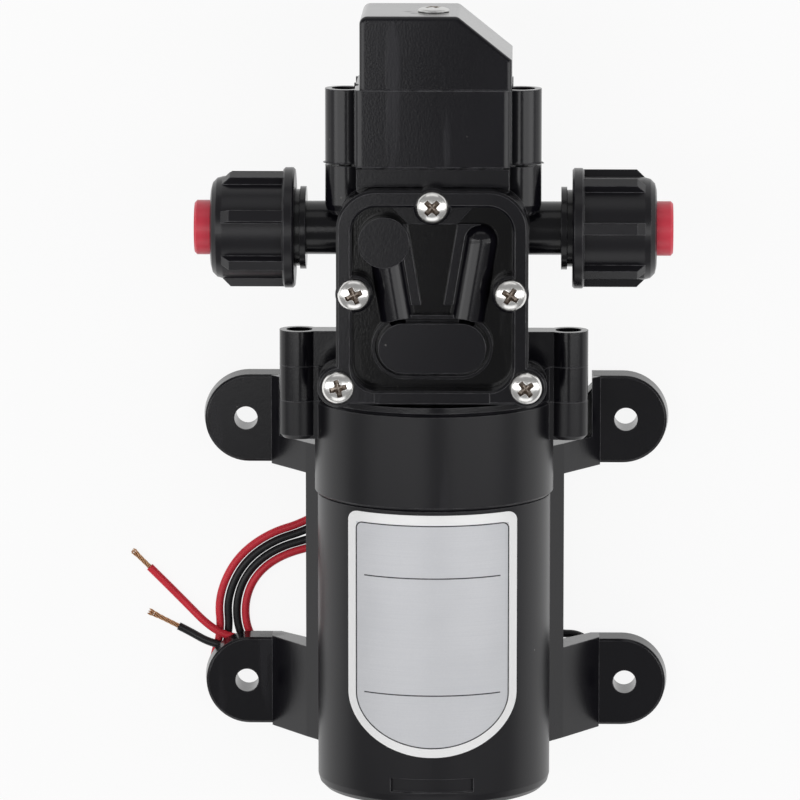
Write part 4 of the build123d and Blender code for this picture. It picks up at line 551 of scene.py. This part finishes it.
def screw_head(piece, place, radius, height):
    """A pan head with a cross recess: domed top, rolled rim and tapering recess walls."""
    arm = radius * 0.54
    half = radius * 0.155
    depth = height * 0.62
    bend = math.degrees(math.atan(half / arm))
    quarter = [-45, -36, -27, -bend - 3, -bend, -6, 0, 6, bend, bend + 3, 27, 36]
    angles = [math.radians(90 * i + a) for i in range(4) for a in quarter]
    outline = []
    for a in angles:
        from_arm = (a + math.pi / 4) % (math.pi / 2) - math.pi / 4
        end = arm / math.cos(from_arm)
        side = half / max(abs(math.sin(from_arm)), 1e-6)
        outline.append(min(end, max(side, half * 1.62)))

    def crown(r):
        return height * (0.30 + 0.70 * math.sqrt(max(0.0, 1 - (r / radius) ** 2.3)))

    def blended(share, circle):
        points = []
        for a, edge in zip(angles, outline):
            r = edge + (circle - edge) * share
            points.append(spoke(place, r, a, crown(r)))
        return points

    def sunk(share, level):
        return [spoke(place, share * r, a, crown(r) - level) for a, r in zip(angles, outline)]

    skin = [ring(place, radius * 0.94, 0.0, angles), ring(place, radius, height * 0.10, angles),
            ring(place, radius, height * 0.30, angles)]
    for swing in (14, 28, 42, 56):
        r = radius * math.cos(math.radians(swing)) ** 0.87
        skin.append(ring(place, r, crown(r), angles))
    skin += [blended(share, radius * 0.60) for share in (0.75, 0.4, 0.08)]
    piece.rings(skin)
    piece.rings([skin[-1], sunk(1.0, height * 0.03), sunk(0.86, depth * 0.72), sunk(0.45, depth)],
                caps=(False, True), material=1)


def screw_shank(piece, place, radius, length, pitch=1.06):
    """The threaded shank under a head, cut to a blunt point."""
    steps = 14
    rows = max(6, round(length / pitch * 6))
    skin = []
    for row in range(rows + 1):
        down = length * row / rows
        taper = 1 if down < length - 1.2 else 1 - 0.45 * (down - length + 1.2) / 1.2
        points = []
        for step in range(steps):
            a = 2 * math.pi * step / steps
            phase = (down / pitch + step / steps) % 1
            r = (radius * 0.78 + radius * 0.20 * max(0.0, 1 - abs(phase - 0.5) * 3.4)) * taper
            points.append(spoke(place, r, a, -down))
        skin.append(points)
    piece.rings(skin, caps=(True, True))


def screws(name, node, slot, places, radius, height, length, direction, shank=1.5):
    """One piece with a screw at each place: where its head sits, how far its recess is turned."""
    piece = Piece(name, finishes[slot], recess_steel)
    for centre, turn in places:
        place = facing(centre, direction, turn)
        screw_head(piece, place, radius, height)
        screw_shank(piece, place, shank, length)
    return piece.finish("pump", slot, (node,))


upward = (0, 0, 1)
headward = (0, 1, 0)
screws("cover_screws", "head_screws", "nickel_steel",
       [((x, y, cover_face_z), turn) for x, y, turn in (
           (0, 79.5, 45), (-15.8, 61.6, 24), (15.8, 61.6, 58),
           (-19.0, 42.6, 14), (19.0, 42.6, 38))],
       3.3, 2.3, 12.0, upward)
screws("crankcase_screws", "body_screws", "zinc_steel",
       [((-side_boss_x, 47.7, 34), 20), ((side_boss_x, 47.7, 34), 65)], 2.5, 2.2, 17.0, headward)
screws("switch_tube_screws", "switch_screws", "zinc_steel",
       [((-tube_x, 89.9, tube_z), 10), ((tube_x, 89.9, tube_z), 50)], 2.6, 2.2, 11.0, headward)
screws("switch_cap_screw", "cap_screw", "zinc_steel",
       [((0, 117.5, 41), 30)], 3.2, 1.0, 9.0, headward)


# Return spring of the pressure switch
def coil_spring():
    """A wire coil with nearly flat end turns, inside the room that the spring has."""
    low, high = (Vector(corner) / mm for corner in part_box("switch_spring"))
    middle = (low + high) / 2
    wire, clear = 0.42, 0.04
    radius = (high.x - low.x) / 2 - wire - clear
    turns, steps = 2.4, 40
    rise = high.y - low.y - 2 * (wire + clear)
    skin = []
    for step in range(round(turns * steps) + 1):
        share = step / (turns * steps)
        a = math.tau * step / steps
        flat = min(1.0, max(0.0, (share - 0.14) / 0.72))
        out = Vector((math.cos(a), 0, math.sin(a)))
        centre = Vector((middle.x, low.y + wire + clear + rise * flat, middle.z)) + out * radius
        skin.append([(centre + (out * math.cos(b) + Vector((0, math.sin(b), 0))) * wire) * mm
                     for b in (math.tau * k / 12 for k in range(12))])
    piece = Piece("return_spring", finishes["spring_steel"])
    piece.rings(skin, caps=(True, True))
    made = piece.finish("pump", "spring_steel", ("switch_spring",))
    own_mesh(made)


coil_spring()


# Label: a foil plate with a round lower end, printed with a border and two rules
def on_label(x, y, lift):
    """A point of the label's curved face, lift mm off it."""
    r = label_radius + lift
    return Vector((x, y, shaft_z + math.sqrt(r * r - x * x))) * mm


def printed_line(piece, path, width, shut):
    """A low ridge of ink along a path of places on the label."""
    count = len(path)
    rows = [[], [], [], []]
    for i, (x, y) in enumerate(path):
        before = path[i - 1] if shut or i else path[0]
        after = path[(i + 1) % count] if shut or i < count - 1 else path[-1]
        along = Vector((after[0] - before[0], after[1] - before[1])).normalized()
        for row, (side, lift) in zip(rows, ((-1, -0.01), (-1, 0.02), (1, 0.02), (1, -0.01))):
            off = side * width / 2
            row.append(on_label(x - along.y * off, y + along.x * off, lift))
    if shut:
        rows = [row + [row[0]] for row in rows]
    piece.rings(rows, shut=False)


def label_edge(half, top, corner, drop):
    """Right half of an outline, top to bottom: corner, straight side, round lower end."""
    path = [(half - corner + corner * math.sin(a), top - corner + corner * math.cos(a))
            for a in (math.radians(10 * i) for i in range(9))]
    path += [(half, top - corner + (label_side_y - top + corner) * i / 24) for i in range(24)]
    path += [(half * math.cos(a), label_side_y - drop * math.sin(a))
             for a in (math.radians(3 * i) for i in range(31))]
    return path


def foil_plate():
    half_width, top, corner, drop = 17.3, 15.8, 2.0, 12.65
    foil_thickness = 0.15
    piece = Piece("label_plate", finishes["silver_label"])
    skin = []
    for half, y in label_edge(half_width, top, corner, drop)[:-1]:
        across = [half * (i / 24 - 1) for i in range(49)]
        skin.append([on_label(x, y, 0) for x in across]
                    + [on_label(x, y, -foil_thickness) for x in reversed(across)])
    piece.rings(skin, caps=(True, True))
    piece.finish("pump", "silver_label", ("rating_label",))


foil_plate()
print_lines = Piece("label_print", ink)
right = label_edge(border_half, border_top, border_corner, border_drop)
left = [(-x, y) for x, y in reversed(right[:-1])]
top_edge = [((border_half - border_corner) * (i / 20 - 1), border_top) for i in range(1, 40)]
printed_line(print_lines, top_edge + right + left, print_width, True)
rule_half = 13.95
for rule_y in (2.7, -21.7):
    rule = [(rule_half * (i / 14 - 1), rule_y) for i in range(29)]
    printed_line(print_lines, rule, print_width, False)
print_lines.finish("pump", "silver_label")


# Moulding flash: thin ragged fins left along the seams of the switch's two screw tubes
def flash_ring(piece, centre, radius, reach, seed, thick=0.16):
    """A fin round a seam whose reach wavers; seed shifts the pattern."""
    place = facing(centre, headward)
    turns = [math.tau * k / 120 for k in range(120)]
    ragged = [
        radius + reach * max(0.12, 0.45
                             + 0.30 * math.sin(5 * a + seed) * math.sin(11 * a + 2 * seed)
                             + 0.35 * math.sin(23 * a + 3 * seed) * math.sin(3 * a + seed))
        for a in turns
    ]
    inner = [radius - 0.5] * len(turns)
    levels = ((-thick, inner), (-thick / 2, ragged), (thick / 2, ragged), (thick, inner))
    piece.rings([[spoke(place, r, a, up) for a, r in zip(turns, edge)] for up, edge in levels])


tube_flash = Piece("tube_seam_flash", finishes["black_body"])
for x, seed in ((-tube_x, 0.4), (tube_x, 2.1)):
    flash_ring(tube_flash, (x, 86.85, tube_z), 4.15, 0.55, seed)
tube_flash.finish("pump", "black_body")


# Threads on the two ports, seen when a nut is backed off
def port_thread(name, side):
    """A single-start ridge wound on one port; side is -1 on the left and 1 on the right."""
    piece = Piece(name, finishes["black_body"])
    place = facing((side * port_face_x, port_y, port_z), (side, 0, 0))
    steps = 48
    pitch = 2.0
    length = 9.4
    core = 7.85
    path = [i / steps for i in range(int(length / pitch * steps))]
    skin = []
    for spin in path:
        a = 2 * math.pi * spin
        fade = min(1.0, spin * 4, (path[-1] - spin) * 4 + 0.05)
        middle = 0.6 + spin * pitch
        points = []
        crest = core + 0.05 + 0.24 * fade
        for r, offset in ((core, -0.55), (crest, -0.22), (crest, 0.22), (core, 0.55)):
            points.append(spoke(place, r, a, middle + offset))
        skin.append(points)
    piece.rings(skin)
    piece.finish("pump", "black_body")


port_thread("inlet_thread", -1)
port_thread("outlet_thread", 1)


# Leads: two limp wires in a loose loop, bared at their free ends
red_route = [
    (-1.9, -40.9, 4.8), (-1.9, -40.9, 2.6), (-3.6, -40.2, 0.9), (-7.8, -38.3, 0.9),
    (-15.3, -33.3, 0.9), (-22.8, -27.4, 0.9), (-30.4, -23.7, 0.9), (-37.3, -23.1, 0.9),
    (-40.4, -18.9, 0.9), (-40.8, -12.6, 0.9), (-38.4, -6.9, 0.9), (-33.2, -2.8, 0.9),
    (-25.7, -0.6, 0.9), (-15.5, 1.2, 0.9), (-4, 2, 0.9), (8, 2.6, 0.9), (15.5, 6, 0.9),
    (18, 13, 0.9), (13.5, 19.5, 0.9), (4.5, 21.6, 0.9), (-6, 18.4, 0.9), (-16.5, 12, 0.9),
    (-27.3, 4.6, 0.9), (-35.8, 2, 0.9), (-42.8, -3.5, 0.9), (-46.5, -11.8, 0.9),
    (-45.8, -19.3, 0.9), (-47.6, -25.1, 0.9), (-47.6, -31.4, 0.9), (-43.1, -35.8, 0.9),
    (-36.9, -35.8, 1.8), (-32.4, -31.4, 2.75), (-32.4, -25.1, 2.75), (-36.9, -20.7, 2.75),
    (-43.9, -20.3, 2.75), (-48.4, -17.8, 2.75), (-53.4, -13.1, 0.9), (-57.6, -8.8, 0.9),
    (-61, -5.4, 0.9),
]
black_route = [
    (1.9, -40.9, 4.8), (1.9, -40.9, 2.6), (0.2, -41.7, 0.9), (-3.6, -42.4, 0.9), (-8.8, -39.8, 0.9),
    (-16.6, -34.7, 0.9), (-23.8, -28.9, 0.9), (-30.9, -25.5, 0.9), (-38.3, -24.8, 0.9),
    (-42.2, -19.6, 0.9), (-42.7, -12.3, 0.9), (-39.9, -5.8, 0.9), (-34.1, -1.2, 0.9),
    (-26.2, 1.1, 0.9), (-18.9, 3.4, 0.9), (-12.9, 3.2, 2.75), (-8.6, -1, 2.75), (-5.6, -8.6, 0.9),
    (0, -17.5, 0.9), (8.5, -24.5, 0.9), (17.5, -29.2, 0.9), (25.8, -30.9, 0.9), (30.6, -30.9, 0.9),
    (33.9, -27.6, 0.9), (33.9, -22.8, 0.9), (30.6, -19.5, 0.9), (25.8, -19.5, 0.9),
    (18.4, -17.6, 0.9), (11.2, -12, 0.9), (8, -5.6, 0.9), (7, -1, 2.75), (6.2, 6.2, 2.75),
    (3.4, 12, 0.9), (-2.6, 15.6, 0.9), (-9.8, 13.6, 0.9), (-17.5, 8.8, 0.9), (-26.8, 2.9, 0.9),
    (-34.9, 0.4, 0.9), (-41.3, -4.6, 0.9), (-44.6, -12.1, 0.9), (-44, -19.1, 0.9),
    (-45.8, -25.8, 0.9), (-45.8, -30.6, 0.9), (-42.4, -34, 0.9), (-37.6, -34, 1.8),
    (-34.2, -30.6, 2.75), (-34.2, -25.8, 2.75), (-37.6, -22.4, 2.75), (-43.4, -22.3, 2.75),
    (-48.3, -21.4, 2.75), (-52.5, -19.4, 0.9), (-54.9, -18.2, 0.9),
]


def lead_curve(name, route, diameter):
    """A smooth round lead along the corner points of its route."""
    curve = bpy.data.curves.new(name, "CURVE")
    curve.dimensions = "3D"
    line = curve.splines.new("NURBS")
    line.points.add(len(route) - 1)
    for point, place in zip(line.points, route):
        point.co = (*(Vector(place) * mm), 1)
    line.order_u = 3
    line.use_endpoint_u = True
    line.use_smooth = True
    curve.resolution_u = 10
    curve.bevel_depth = diameter / 2 * mm
    curve.bevel_resolution = 5
    curve.use_fill_caps = True
    made = bpy.data.objects.new(name, curve)
    bpy.context.collection.objects.link(made)
    return made


def route_points(route):
    """The points that a lead's own curve passes through."""
    bare = lead_curve("route", route, 0.0)
    bare.data.use_fill_caps = False
    data = bpy.data.meshes.new_from_object(bare)
    points = [v.co.copy() for v in data.vertices]
    bpy.data.meshes.remove(data)
    bpy.data.objects.remove(bare)
    return points


def twisted_strands(piece, points, length, wires=6):
    """Fine copper wires twisted together, straight on from the lead's end, flaring at the tip."""
    buried = 1.0
    lay_length = 7.5
    tip = points[-1]
    place = facing(tip / mm, tip - points[-2])
    for wire in range(wires + 1):
        skin = []
        for step in range(25):
            share = step / 24
            along = -buried + (length + buried - 0.175 * (wire % 3)) * share
            spread = 0.0 if wire == wires else 0.35 + 1.3 * max(0.0, share - 0.55) ** 2
            a = 2 * math.pi * (wire / wires + along / lay_length)
            centre = Vector((spread * math.cos(a), spread * math.sin(a), along))
            thick = 0.155 if share < 0.97 else 0.10
            skin.append([
                place @ ((centre + Vector((thick * math.cos(b), thick * math.sin(b), 0))) * mm)
                for b in (math.pi / 4 * k for k in range(8))
            ])
        piece.rings(skin, caps=(True, True))


def lead_sleeve(name, x):
    """The short tapered sleeve that keeps a lead from kinking where it leaves the grommet."""
    piece = Piece(name, finishes["black_rubber"])
    turns = [math.pi / 10 * k for k in range(20)]
    place = facing((x, grommet_y, grommet_foot_z), (0, 0, -1))
    profile = [(0.86, 0.0), (1.35, 0.0), (1.34, 0.25), (1.26, 0.45), (1.18, 0.50), (1.18, 0.72),
               (1.10, 0.80), (1.04, 0.85), (1.02, 1.05), (0.95, 1.15), (0.86, 1.2)]
    piece.rings([ring(place, r, down, turns) for r, down in profile])
    return piece.finish("pump", "black_rubber")


red_points = route_points(red_route)
black_points = route_points(black_route)
red_lead = lead_curve("red_lead_wire", red_route, lead_diameter)
black_lead = lead_curve("black_lead_wire", black_route, lead_diameter)
bare_ends = Piece("bared_strands", strand_copper)
twisted_strands(bare_ends, red_points, 5.2)
twisted_strands(bare_ends, black_points, 7.2)
bare_ends = bare_ends.finish("pump", "copper", ("bare_strands",))
red_sleeve = lead_sleeve("red_lead_sleeve", -lead_x)
black_sleeve = lead_sleeve("black_lead_sleeve", lead_x)
for wire, node, slot, route, length, pieces in (
    (red_lead, "red_lead", "red_insulation", red_route, 0.2818, [bare_ends, red_sleeve]),
    (black_lead, "black_lead", "black_insulation", black_route, 0.3348, [black_sleeve]),
):
    wire.data.materials.append(finishes[slot])
    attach(wire, "pump")
    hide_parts(node)


# Floor and light
def pale_floor():
    """Plain pale ground: paper under the lamps, lifted to white where it is seen or mirrored."""
    finish = Finish("pale_ground", Roughness=0.9, Specular_IOR_Level=0.1)
    paper = finish.cloud(9, 2)
    finish.paint(Base_Color=finish.mix(paper, (0.93, 0.93, 0.93), (0.95, 0.95, 0.95)))
    seen = finish.ray("Camera").highest(finish.ray("Glossy")).highest(finish.ray("Transmission"))
    white = finish.node("ShaderNodeEmission", values={"Color": (1, 1, 1, 1), "Strength": 1.0})
    lifted = finish.node("ShaderNodeMixShader", values={
        0: seen * 0.90, 1: Field(finish, finish.surface.outputs[0]), 2: white})
    out = next(n for n in finish.tree.nodes if n.type == "OUTPUT_MATERIAL")
    finish.tree.links.new(lifted.socket, out.inputs["Surface"])
    return finish.material


floor_data = bpy.data.meshes.new("floor")
floor_data.from_pydata([(-3, -3, 0), (3, -3, 0), (3, 3, 0), (-3, 3, 0)], [], [(0, 1, 2, 3)])
floor_data.materials.append(pale_floor())
floor = bpy.data.objects.new("floor", floor_data)
floor.location.z = -0.00005
bpy.context.collection.objects.link(floor)

world = bpy.data.worlds.new("studio")
world.use_nodes = True
bpy.context.scene.world = world
sky = Network(world.node_tree)
backdrop = sky.tree.nodes["Background"]
seen = sky.ray("Camera").highest(sky.ray("Transmission")).highest(sky.ray("Glossy") * 0.06)
sky.feed(backdrop.inputs["Strength"], 0.24 + seen * 0.76)
sky.feed(backdrop.inputs["Color"], (1, 1, 1, 1))


def soft_light(name, place, width, height, power, aim=(0, 0.04, 0.03)):
    """A rectangular lamp that faces the pump; sizes in metres, power in watts."""
    data = bpy.data.lights.new(name, "AREA")
    data.shape = "RECTANGLE"
    data.size = width
    data.size_y = height
    data.energy = power
    lamp = bpy.data.objects.new(name, data)
    lamp.location = place
    lamp.rotation_mode = "QUATERNION"
    lamp.rotation_quaternion = (Vector(aim) - Vector(place)).to_track_quat("-Z", "Y")
    bpy.context.collection.objects.link(lamp)


soft_light("left_strip", (-0.42, 0.08, 0.66), 0.30, 0.9, 1.9)
soft_light("right_strip", (0.50, 0.08, 0.60), 0.30, 0.9, 1.8)
soft_light("left_panel", (-0.75, 0.10, 0.24), 0.35, 0.9, 0.55)
soft_light("right_panel", (0.75, 0.10, 0.24), 0.35, 0.9, 0.55)
soft_light("head_panel", (0.0, 0.78, 0.36), 0.8, 0.35, 0.5)
soft_light("foot_panel", (0.0, -0.7, 0.5), 0.8, 0.4, 0.9)
